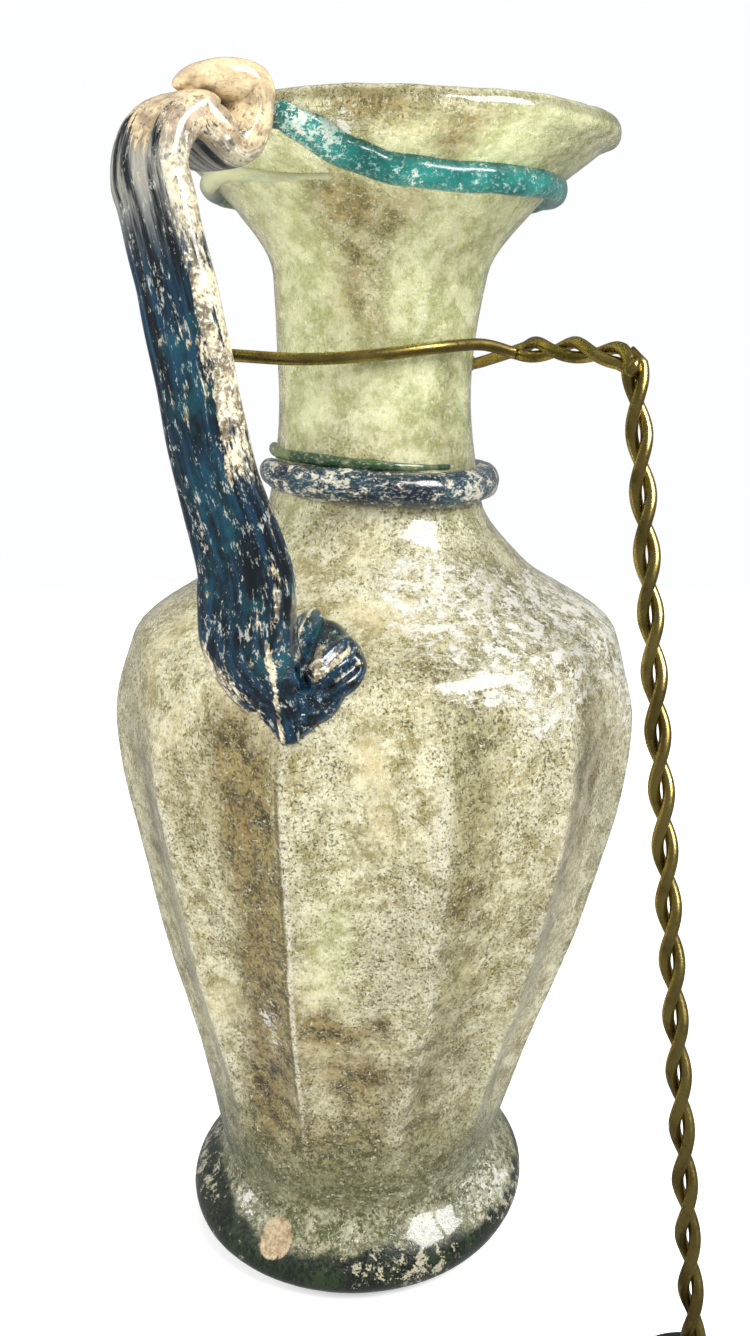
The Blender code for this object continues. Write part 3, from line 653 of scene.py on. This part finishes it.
def strapStations():
    # azimuth, reach from the axis, height, width, thickness
    top, foot, reach = handle["topAzimuth"], handle["footAzimuth"], handle["reach"]
    width, thick, claw = handle["width"], handle["thickness"], handle["clawWidth"]
    mouth, rim = jug["mouthRadius"], jug["height"]
    under = rim - 0.0074
    thumb = rim + handle["thumbRise"] - 0.5 * thick
    shoulder, side = wallRadius(0.1185), wallRadius(0.1115)
    return [
        (foot + 1.6, side + 0.0006, 0.1118, 0.2 * width, 0.4 * thick),
        (foot - 1.2, shoulder + 0.0014, 0.117, 0.5 * claw, 1.0 * thick),
        (foot - 4.6, shoulder + 0.0016, 0.1212, 0.84 * claw, 1.4 * thick),
        (foot - 6.3, shoulder + 0.0028, 0.1262, 0.95 * claw, 1.6 * thick),
        (foot - 5.3, reach - 0.0044, 0.132, 0.97 * claw, 1.2 * thick),
        (foot - 4.6, reach - 0.003, 0.138, 1.2 * width, thick),
        (foot - 8.5, reach - 0.0016, 0.1515, 1.03 * width, thick),
        (0.4 * foot + 0.6 * top, reach - 0.0006, 0.1675, width, thick),
        (0.12 * foot + 0.88 * top, reach, rim - 0.0165, width, thick),
        (top - 0.4, reach - 0.0006, rim - 0.011, width, thick),
        (top - 1.0, reach - 0.0028, rim - 0.0064, width, 1.05 * thick),
        (top - 1.0, reach - 0.0066, rim - 0.004, 1.03 * width, 1.1 * thick),
        (top, 0.45 * reach + 0.55 * mouth, under + 0.0018, 1.03 * width, 1.1 * thick),
        (top + 1.8, mouth + 0.0034, under, 1.03 * width, 1.08 * thick),
        (top + 2.6, mouth + 0.0008, under + 0.004, width, thick),
        (top + 2.2, mouth + 0.0008, thumb - 0.0004, width, thick),
        (top + 1.0, mouth + 0.0044, thumb + 0.0002, 0.88 * width, 0.86 * thick),
        (top, mouth + 0.0078, thumb - 0.0004, 0.55 * width, 0.45 * thick),
        (top, mouth + 0.0088, thumb - 0.0007, 0.12 * width, 0.12 * thick),
    ]


def bridgeRings(rings):
    # bridges each ring of points to the next and closes both ends
    shape = bmesh.new()
    loops = []
    for ring in rings:
        corners = [shape.verts.new(point) for point in ring]
        loops.append([shape.edges.new((a, b)) for a, b in zip(corners, corners[1:] + corners[:1])])
        if ring is rings[0] or ring is rings[-1]:
            shape.faces.new(corners)
    for first, second in zip(loops, loops[1:]):
        bmesh.ops.bridge_loops(shape, edges=first + second)
    return shape


def buildStrap(material):
    stations = splineThrough(strapStations(), 14)
    middles = [placeAt(reach, azimuth, height) for azimuth, reach, height, _, _ in stations]
    along, walked = [], 0.0
    for before, after in zip([middles[0]] + middles, middles):
        walked += (after - before).length
        along.append(walked)
    rings, coords, crusts = [], [], []
    for i, (azimuth, _, height, width, thickness) in enumerate(stations):
        run = directionAt(middles, i)
        turn = math.radians(azimuth)
        sideways = Vector((math.cos(turn), math.sin(turn), 0.0))
        across = (sideways - run * sideways.dot(run)).normalized()
        outward = across.cross(run)
        folded = smoothStep(0.086, 0.094, along[i])
        inClaw = 1.0 - smoothStep(0.016, 0.027, along[i])
        ring = []
        for k in range(handle["sides"]):
            angle = math.tau * k / handle["sides"]
            x, y = [math.copysign(abs(part) ** 0.72, part) for part in (math.cos(angle), math.sin(angle))]
            point = middles[i] + across * (0.5 * width * x) + outward * (0.5 * thickness * y)
            facing = smoothStep(0.15, 0.75, y)
            sway = 0.05 * noiseAt(Vector((x, 60.0 * along[i], 3.0)), 0.8)
            for middle, wide, deep in handle["grooves"]:
                strength = 0.6 + 0.7 * noiseAt(Vector((middle * 9.0, 55.0 * along[i], 0.0)), 1.0)
                groove = 0.001 * deep * strength * hill(x + sway - middle, wide)
                point -= outward * groove * facing * (1.0 - folded) * (1.0 - 0.6 * inClaw)
            if inClaw > 0.0:
                point += outward * clawRelief(azimuthOf(point), point.z) * facing * inClaw
            point += (across * x + outward * y) * 0.00016 * noiseAt(point, 170.0)
            point += (across * x + outward * y) * 0.0005 * folded * noiseAt(point, 110.0)
            edgeBand = smoothStep(0.35, 0.95, x) * (0.35 + 0.65 * smoothStep(0.034, 0.052, along[i]))
            edgeBand *= 0.75 * smoothStep(0.012, 0.03, along[i])
            crusts.append(max(edgeBand, clawCrust(azimuthOf(point), point.z) * facing * inClaw))
            ring.append(point)
            coords.append((0.5 * width * x, along[i], 0.5 * thickness * y))
        rings.append(ring)
    piece = finishPiece("strapHandle", bridgeRings(rings), material, "handle")
    paintStrap(piece, [value for coord in coords for value in coord], crusts)


def buildFan(material):
    # the side of the claw that was pinched out over the shoulder
    shape = bmesh.new()
    bmesh.ops.create_grid(shape, x_segments=110, y_segments=110, size=1.0)
    middle, scale = handle["fanMiddle"], handle["fanScale"]
    outline = [onShoulder(*corner) for corner in handle["fan"]]
    bearings = sorted((math.atan2(corner.y, corner.x), corner.length) for corner in outline)
    wrapped = [(bearings[-1][0] - math.tau, bearings[-1][1])] + bearings
    wrapped += [(bearings[0][0] + math.tau, bearings[0][1])]

    def spread(corner):
        x, y = corner.co.x, corner.co.y
        u, v = x * math.sqrt(1.0 - 0.5 * y * y), y * math.sqrt(1.0 - 0.5 * x * x)
        rim = min(1.0, math.hypot(u, v))
        bearing = math.atan2(v, u)
        reach = curveThrough(wrapped, bearing) * rim
        azimuth = middle[0] + reach * math.cos(bearing) / scale[0]
        return rim, azimuth, 0.001 * (middle[1] + reach * math.sin(bearing) / scale[1])

    spots = [spread(corner) for corner in shape.verts]
    made = bmesh.ops.extrude_face_region(shape, geom=shape.faces[:])
    below = {item for item in made["geom"] if isinstance(item, bmesh.types.BMVert)}
    tops = [corner for corner in shape.verts if corner not in below]
    matched = {}
    for corner, spot in zip(tops, spots):
        matched[(round(corner.co.x, 5), round(corner.co.y, 5))] = spot
    for corner in below:
        _, azimuth, height = matched[(round(corner.co.x, 5), round(corner.co.y, 5))]
        corner.co = wallPlace(-0.0011, azimuth, height)
    for corner, (rim, azimuth, height) in zip(tops, spots):
        dome = 0.0026 * (1.0 - rim**3.2) ** 0.8 - 0.0003 * smoothStep(0.9, 1.0, rim)
        lift = dome + clawRelief(azimuth, height) * (1.0 - rim**6)
        place = wallPlace(0.0, azimuth, height)
        lift += 0.00012 * noiseAt(place, 260.0) * (1.0 - rim**4)
        corner.co = wallPlace(max(-0.0006, lift), azimuth, height)
    piece = finishPiece("clawFan", shape, material, None)
    coords = [0.0] * (3 * len(piece.data.vertices))
    piece.data.vertices.foreach_get("co", coords)
    crusts = [clawCrust(azimuthOf(corner.co), corner.co.z) for corner in piece.data.vertices]
    paintStrap(piece, coords, crusts)


def blueGlass():
    made, shader, place = newMaterial("combedBlueGlass")
    strap = attributeOf(shader, "strapPlace")["Vector"]
    crusting = attributeOf(shader, "crusting")["Fac"]
    level = heightOf(place)
    drawn = noiseOf(stretched(strap, (1.0, 0.08, 1.0)), 700.0, 6.0, 0.65)
    broad = noiseOf(place, 90.0, 5.0, 0.6)
    cloud = noiseOf(place, 320.0, 6.0, 0.65)
    fine = noiseOf(place, 1500.0, 3.0, 0.7)
    glass = blend(mapTo(drawn, 0.4, 0.62), (2, 10, 18), (8, 52, 74))
    glass = blend(mapTo(broad, 0.5, 0.7, 0.0, 0.8), glass, (10, 80, 90))
    # drawn-out crust in streaks, whitish flecks, and more cream on the side that faces the neck
    wear = plus(mapTo(broad, 0.35, 0.65, 0.15, 0.34), times(crusting, 0.52))
    streaky = crustOf(stretched(strap, (1.0, 0.24, 1.0)), 600.0, wear, 0.03)
    creamy = blend(mapTo(cloud, 0.4, 0.58), (120, 108, 84), (224, 210, 174))
    creamy = blend(mapTo(fine, 0.5, 0.66), creamy, (244, 238, 218))
    creamy = blend(mapTo(fine, 0.46, 0.36), creamy, (92, 78, 50))
    glass = blend(times(streaky["Mask"], 0.94), glass, creamy)
    dust = crustOf(stretched(strap, (1.0, 0.3, 1.0)), 1400.0, mapTo(cloud, 0.35, 0.65, 0.22, 0.42), 0.03)
    glass = blend(times(dust["Mask"], 0.7), glass, (190, 194, 182))
    # silvery combed streaks over the bend, partly weathering and partly a painted sheen, and a fold that is
    # crusted all over
    silverStreakAndSheen = times(mapTo(level, 0.176, 0.19), mapTo(drawn, 0.4, 0.58))
    glass = blend(times(silverStreakAndSheen, 0.7), glass, (178, 172, 156))
    crustLevel = plus(level, times(drawn, 0.026), -0.013)
    cap = crustOf(place, 260.0, mapTo(crustLevel, 0.1895, 0.197, 0.0, 0.98), 0.05)
    capColour = blend(mapTo(cloud, 0.38, 0.62), (150, 130, 100), (228, 206, 164))
    capColour = blend(mapTo(broad, 0.52, 0.66, 0.0, 0.7), capColour, (150, 132, 130))
    capColour = blend(mapTo(fine, 0.52, 0.66, 0.0, 0.8), capColour, (92, 76, 54))
    capColour = blend(mapTo(level, 0.1965, 0.201, 0.0, 0.5), capColour, (232, 206, 160))
    glass = blend(cap["Mask"], glass, capColour)
    crusted = addMath("MAXIMUM", streaky["Mask"], cap["Mask"])
    rough = plus(times(crusted, 0.4), mapTo(drawn, 0.3, 0.7, 0.14, 0.28))
    height = plus(times(streaky["Height"], 0.9), cap["Height"], times(drawn, 1.2), times(fine, 0.5))
    linkGlass(shader, glass, rough, height, 0.0002, 0.08)
    return made


# the wound trails

trails = {
    "sides": 28,
    "rimThickness": 0.0043,
    "rimLine": [(-29.0, 197.1), (-24.5, 196.9), (-19.0, 195.9), (-15.5, 194.5), (-12.0, 193.3), (-6.5, 192.3),
                (-0.5, 191.3), (8.0, 190.8), (18.0, 190.4), (71.0, 190.4), (140.0, 190.2), (220.0, 190.6),
                (290.0, 191.3), (303.0, 191.5), (315.0, 190.9), (329.0, 190.1), (343.5, 189.9)],
    "rimSize": [(-29.0, 0.75), (-24.0, 1.0), (-17.0, 1.2), (-11.0, 1.08), (40.0, 1.05), (75.0, 0.95),
                (200.0, 0.9), (290.0, 0.8), (315.0, 0.45), (343.5, 0.2)],
    "neckThickness": 0.0056,
    "neckLine": [(-95.0, 146.2), (-76.0, 146.0), (-17.0, 145.2), (10.0, 144.6), (40.0, 144.1),
                 (85.0, 144.1), (150.0, 144.2), (220.0, 145.6), (250.0, 148.0), (272.0, 149.6),
                 (300.0, 149.4), (343.0, 148.9), (370.0, 148.3), (405.0, 147.7)],
    "neckSize": [(-95.0, 0.5), (-70.0, 0.82), (-17.0, 1.0), (85.0, 1.04), (150.0, 0.95), (220.0, 0.66),
                 (262.0, 0.36), (330.0, 0.34), (405.0, 0.14)],
}


def buildTrail(name, line, sizes, thickness, proud, flat, material, node):
    start, end = line[0][0], line[-1][0]
    count = round((end - start) / 1.4)
    middles, widths = [], []
    for i in range(count + 1):
        azimuth = start + (end - start) * i / count
        height = 0.001 * curveThrough(line, azimuth)
        size = curveThrough(sizes, azimuth)
        size *= 1.0 + 0.07 * noiseAt(Vector((0.05 * azimuth, 1.0, 2.0)), 1.0)
        middles.append(wallPlace(proud * thickness * size, azimuth, height))
        widths.append(0.5 * thickness * size * (0.25 if i in (0, count) else 1.0))
    rings = []
    for i, middle in enumerate(middles):
        run = directionAt(middles, i)
        outward = Vector((middle.x - leanAt(middle.z), middle.y, 0.0)).normalized()
        outward = (outward - run * outward.dot(run)).normalized()
        upward = outward.cross(run)
        ring = []
        for k in range(trails["sides"]):
            angle = math.tau * k / trails["sides"]
            away = outward * (flat * math.cos(angle)) + upward * math.sin(angle)
            point = middle + away * widths[i]
            ring.append(point + away * (0.0002 * noiseAt(point, 190.0) + 0.00008 * noiseAt(point, 620.0)))
        rings.append(ring)
    piece = finishPiece(name, bridgeRings(rings), material, node)
    runs = [start + (end - start) * i / count for i in range(count + 1) for _ in range(trails["sides"])]
    paintPoints(piece, "trailRun", "FLOAT", runs)


def trailGlass(name, deep, paleStrokeGlints, crust, size, cover, drawnOut, startCrust, greenEnd, paleEnd):
    # the azimuths between which the thread is crusted more, turns to dark green, and to pale glass
    made, shader, place = newMaterial(name)
    run = attributeOf(shader, "trailRun")["Fac"]
    broad = noiseOf(place, 130.0, 5.0, 0.6)
    fine = noiseOf(place, 1600.0, 3.0, 0.7)
    green = mapTo(run, *greenEnd)
    colour = blend(mapTo(broad, 0.36, 0.64), deep, paleStrokeGlints)
    colour = blend(green, colour, blend(mapTo(broad, 0.4, 0.6), (34, 66, 40), (104, 120, 74)))
    colour = blend(mapTo(run, *paleEnd), colour, (206, 204, 156))
    along = stretched(place, (1.0, 1.0, drawnOut))
    specks = crustOf(along, 1300.0, 0.38, 0.04)
    colour = blend(times(specks["Mask"], 0.7), colour, crust)
    patchCover = plus(mapTo(broad, 0.3, 0.7, -0.1, 0.1), cover, times(green, -0.16),
                      mapTo(run, *startCrust, 0.0, 0.16))
    patch = crustOf(along, size, patchCover, 0.03)
    crustColour = blend(mapTo(fine, 0.35, 0.65), crust, (238, 232, 214))
    colour = blend(patch["Mask"], colour, crustColour)
    rough = plus(times(patch["Mask"], 0.4), mapTo(fine, 0.3, 0.7, 0.12, 0.26))
    height = plus(patch["Height"], times(specks["Height"], 0.5), times(fine, 0.3))
    linkGlass(shader, colour, rough, height, 0.00018, 0.15)
    return made


# the wire cradle

cradle = {
    "wire": 0.0019,
    "twistRadius": 0.0011,
    "twistPitch": 0.018,
    "height": 0.1655,
    "postTop": (0.0422, -0.025),
    "postFoot": (0.0555, -0.0545),
    "bend": 0.0055,
    "forkAzimuth": 84.0,
    "forkPhase": -60.0,
    "sleeve": 0.0032,
    "sleeveWall": 0.0004,
    "footRadius": 0.0125,
    "footHeight": 0.005,
    "socketFloor": 0.0018,
}


def tubeAlong(name, points, thickness, sides, material, node, filled=True):
    path = bpy.data.curves.new(name, "CURVE")
    path.dimensions = "3D"
    path.bevel_depth = 0.5 * thickness
    path.bevel_resolution = sides // 2 - 2
    path.use_fill_caps = filled
    line = path.splines.new("POLY")
    line.points.add(len(points) - 1)
    for i, point in enumerate(points):
        line.points[i].co = (*point, 1.0)
    carrier = newObject(name + "Path", path)
    bpy.context.view_layer.update()
    mesh = bpy.data.meshes.new_from_object(carrier.evaluated_get(bpy.context.evaluated_depsgraph_get()))
    bpy.data.objects.remove(carrier)
    shape = bmesh.new()
    shape.from_mesh(mesh)
    bmesh.ops.remove_doubles(shape, verts=shape.verts, dist=1e-6)
    return finishPiece(name, shape, material, node)


def strandAround(line, side):
    points = []
    walked = -sum((b - a).length for a, b in zip(line, line[1:]))
    for i, middle in enumerate(line):
        if i:
            walked += (middle - line[i - 1]).length
        run = directionAt(line, i)
        across = run.cross(Vector((-0.55, -0.83, 0.05))).normalized()
        up = run.cross(across)
        angle = math.tau * walked / cradle["twistPitch"] + math.radians(cradle["forkPhase"]) + side * math.pi
        points.append(middle + (across * math.cos(angle) + up * math.sin(angle)) * cradle["twistRadius"])
    return points


def buildCradle(brass, clear, black):
    level = cradle["height"]
    reach = wallRadius(level) + 0.5 * cradle["wire"] + 0.0004
    foot = Vector((*cradle["postFoot"], cradle["socketFloor"] + 0.0006))
    top = Vector((*cradle["postTop"], level - cradle["bend"]))
    fork = placeAt(reach + 0.0044, cradle["forkAzimuth"], level)
    towards = Vector((fork.x - top.x, fork.y - top.y, 0.0)).normalized()
    line = [foot, foot.lerp(top, 0.33) - towards * 0.0003, foot.lerp(top, 0.66) - towards * 0.0002, top]
    for angle in (30.0, 60.0, 90.0):
        turn = math.radians(angle)
        rise = Vector((0.0, 0.0, math.sin(turn)))
        line.append(top + cradle["bend"] * (towards * (1.0 - math.cos(turn)) + rise))
    line += [line[-1].lerp(fork, 0.5) + Vector((0.0, 0.0, 0.0006)), fork]
    line = evenly(splineThrough(line, 40), 0.0006)
    beyond = cradle["wire"] + 0.0003
    frontEnd = [
        placeAt(reach + 0.6 * beyond, 62.0, level + 0.0012),
        placeAt(reach, 30.0, level + 0.0008),
        placeAt(reach, 0.0, level - 0.0002),
        placeAt(reach / math.cos(math.radians(32)), -32.0, level - 0.0008),
        placeAt(reach / math.cos(math.radians(52)), -52.0, level - 0.0002),
    ]
    gap = 0.5 * (cradle["sleeve"] - cradle["wire"])
    finger = [placeAt(reach + gap, azimuth, level - 0.0022) for azimuth in range(110, 239)]
    for name, node, side, tail in (("frontWire", "wire_strand_front", 0, frontEnd),
                                   ("backWire", "wire_strand_back", 1, finger[:121:15])):
        route = strandAround(line, side)[:-5]
        run = evenly(splineThrough([route[-6], route[-1]] + tail, 40), 0.0007)
        joined = [point for point in run if (point - route[-1]).dot(route[-1] - route[-6]) > 0.0 or
                  (point - route[-1]).length > 0.006]
        tubeAlong(name, route + joined, cradle["wire"], 18, brass, node)
    sleeve = tubeAlong("clearSleeve", finger[8::3], cradle["sleeve"], 26, clear, "wire_sleeve",
                       False)
    wall = sleeve.modifiers.new("wall", "SOLIDIFY")
    wall.thickness = cradle["sleeveWall"]
    wall.offset = -1.0
    buildCradleFoot(black)


def buildCradleFoot(material):
    edge, top, floor = cradle["footRadius"], cradle["footHeight"], cradle["socketFloor"]
    lean = math.dist(cradle["postFoot"], cradle["postTop"]) / cradle["height"]
    socket = cradle["twistRadius"] + 0.5 * cradle["wire"] + 0.0007 + lean * (top - floor)
    section = [(0.0, 0.0), (edge - 0.001, 0.0)]
    for angle in (-60, -30, 0):
        turn = math.radians(angle)
        section.append((edge - 0.0008 + 0.0008 * math.cos(turn), 0.0008 + 0.0008 * math.sin(turn)))
    for angle in (0, 22, 45, 68, 90):
        turn = math.radians(angle)
        section.append((edge - 0.0014 + 0.0014 * math.cos(turn), top - 0.0014 + 0.0014 * math.sin(turn)))
    section += [(0.5 * (edge + socket), top), (socket + 0.0004, top), (socket + 0.0001, top - 0.0001),
                (socket, top - 0.0004), (socket, floor), (0.0, floor)]
    shape = spinOnce(section, 120)
    bmesh.ops.translate(shape, vec=(*cradle["postFoot"], 0.0), verts=shape.verts)
    piece = finishPiece("cradleFoot", shape, material, "wire_foot")
    piece.data.set_sharp_from_angle(angle=math.radians(50))


def agedBrass():
    made, shader, place = newMaterial("agedBrass")
    broad = noiseOf(place, 160.0, 5.0, 0.6)
    fine = noiseOf(place, 1800.0, 4.0, 0.7)
    colour = blend(mapTo(broad, 0.35, 0.65), (182, 162, 94), (146, 128, 72))
    tarnish = crustOf(place, 240.0, mapTo(broad, 0.4, 0.6, 0.24, 0.5), 0.06)
    colour = blend(times(tarnish["Mask"], 0.35), colour, (80, 68, 34))
    rough = plus(mapTo(fine, 0.3, 0.7, 0.2, 0.32), times(tarnish["Mask"], 0.16))
    linkSurface(shader, colour, rough, fine, 0.25, 0.00005)
    setInputs(shader, {"Metallic": 1.0})
    return made


def clearPlastic():
    made, shader, place = newMaterial("clearPlastic")
    fine = noiseOf(place, 700.0, 4.0, 0.6)
    colour = blend(mapTo(fine, 0.4, 0.7), (246, 246, 242), (226, 226, 214))
    linkSurface(shader, colour, mapTo(fine, 0.3, 0.7, 0.06, 0.18), fine, 0.2, 0.00005)
    setInputs(shader, {"Transmission Weight": 0.92, "IOR": 1.46})
    return made


def blackPaint():
    made, shader, place = newMaterial("satinBlackPaint")
    peel = noiseOf(place, 900.0, 2.0, 0.5)
    dust = crustOf(place, 500.0, 0.14, 0.06)
    colour = blend(times(dust["Mask"], 0.5), (20, 20, 21), (92, 90, 86))
    linkSurface(shader, colour, mapTo(peel, 0.3, 0.7, 0.34, 0.48), peel, 0.3, 0.00008)
    return made


# floor, light and camera

studio = {
    "floorRadius": 0.6,
    "floorGlow": 0.3,
    "aim": (0.0, 0.0, 0.11),
    "camera": (0.0035, -0.20332, 0.17),
    "pitch": 16.35,
    "lens": 36.0 * 1176.0 / 1336.0,
    "ambient": 0.45,
    "reflected": 0.24,
    # name, place, width, height, power, and whether the glass mirrors it
    "softboxes": [("key", (0.52, -0.34, 0.66), 0.44, 0.4, 9.0, True),
                  ("front", (-0.3, -0.72, 0.5), 0.6, 0.5, 3.6, False),
                  ("left", (-0.7, -0.2, 0.46), 0.5, 0.4, 4.6, False),
                  ("back", (0.05, 0.75, 0.55), 0.7, 0.5, 4.2, False)],
}


def buildFloor():
    shape = bmesh.new()
    bmesh.ops.create_circle(shape, cap_ends=True, segments=96, radius=studio["floorRadius"])
    mesh = bpy.data.meshes.new("floor")
    shape.to_mesh(mesh)
    shape.free()
    made, shader, place = newMaterial("paleFloor")
    soft = noiseOf(place, 6.0, 3.0, 0.5)
    colour = blend(soft, (238, 238, 236), (232, 233, 232))
    setInputs(shader, {"Base Color": colour, "Roughness": 0.6, "Emission Color": (1.0, 1.0, 1.0, 1.0),
                       "Emission Strength": studio["floorGlow"]})
    mesh.materials.append(made)
    floor = newObject("floor", mesh)
    floor.visible_glossy = False


def addSoftbox(name, place, width, height, power, mirrored):
    light = bpy.data.lights.new(name, "AREA")
    light.shape = "RECTANGLE"
    light.size, light.size_y = width, height
    light.energy = power
    holder = newObject(name, light)
    holder.location = place
    holder.rotation_euler = (Vector(studio["aim"]) - Vector(place)).to_track_quat("-Z", "Y").to_euler()
    holder.visible_glossy = mirrored


def buildStudio():
    # a white surround that the camera sees at full strength and the jug is lit by at "ambient"
    world = bpy.data.worlds.new("studio")
    world.use_nodes = True
    tree = world.node_tree
    seen = addNode(tree, "ShaderNodeLightPath", {})
    straight = addMath("MAXIMUM", seen["Is Camera Ray"], seen["Is Transmission Ray"])
    strength = mapTo(straight, 0.0, 1.0, studio["ambient"], 1.0)
    mirrored = times(seen["Is Glossy Ray"], studio["reflected"] - studio["ambient"])
    strength = plus(strength, mirrored)
    setInputs(tree.nodes["Background"], {"Strength": strength, "Color": (0.985, 0.99, 1.0, 1.0)})
    bpy.context.scene.world = world
    bpy.context.scene.view_settings.view_transform = "Standard"
    for softbox in studio["softboxes"]:
        addSoftbox(*softbox)


def buildCamera():
    lens = bpy.data.cameras.new("photoView")
    lens.lens = studio["lens"]
    lens.sensor_width = 36.0
    lens.clip_start = 0.01
    camera = newObject("photoView", lens)
    camera.location = studio["camera"]
    camera.rotation_euler = (math.radians(90.0 - studio["pitch"]), 0.0, 0.0)
    bpy.context.scene.camera = camera


crustGroup = buildCrustGroup()
print("building the vessel")
buildVessel(paleGlass())
print("building the handle")
blue = blueGlass()
buildStrap(blue)
buildFan(blue)
print("winding the trails")
teal = trailGlass("turquoiseTrail", (8, 92, 86), (36, 140, 130), (170, 222, 210),
                  620.0, 0.3, 1.3, (-8.0, -18.0), (200.0, 250.0), (262.0, 292.0))
navy = trailGlass("darkBlueTrail", (10, 28, 46), (28, 72, 88), (190, 184, 160),
                  440.0, 0.4, 2.0, (-120.0, -130.0), (200.0, 262.0), (430.0, 440.0))
buildTrail("rimTrail", trails["rimLine"], trails["rimSize"], trails["rimThickness"], 0.12, 0.8, teal,
           "rim_trail")
buildTrail("neckTrail", trails["neckLine"], trails["neckSize"], trails["neckThickness"], 0.16, 0.9, navy,
           "neck_trail")
print("twisting the wire cradle")
buildCradle(agedBrass(), clearPlastic(), blackPaint())
print("setting the floor, light and camera")
buildFloor()
buildStudio()
buildCamera()
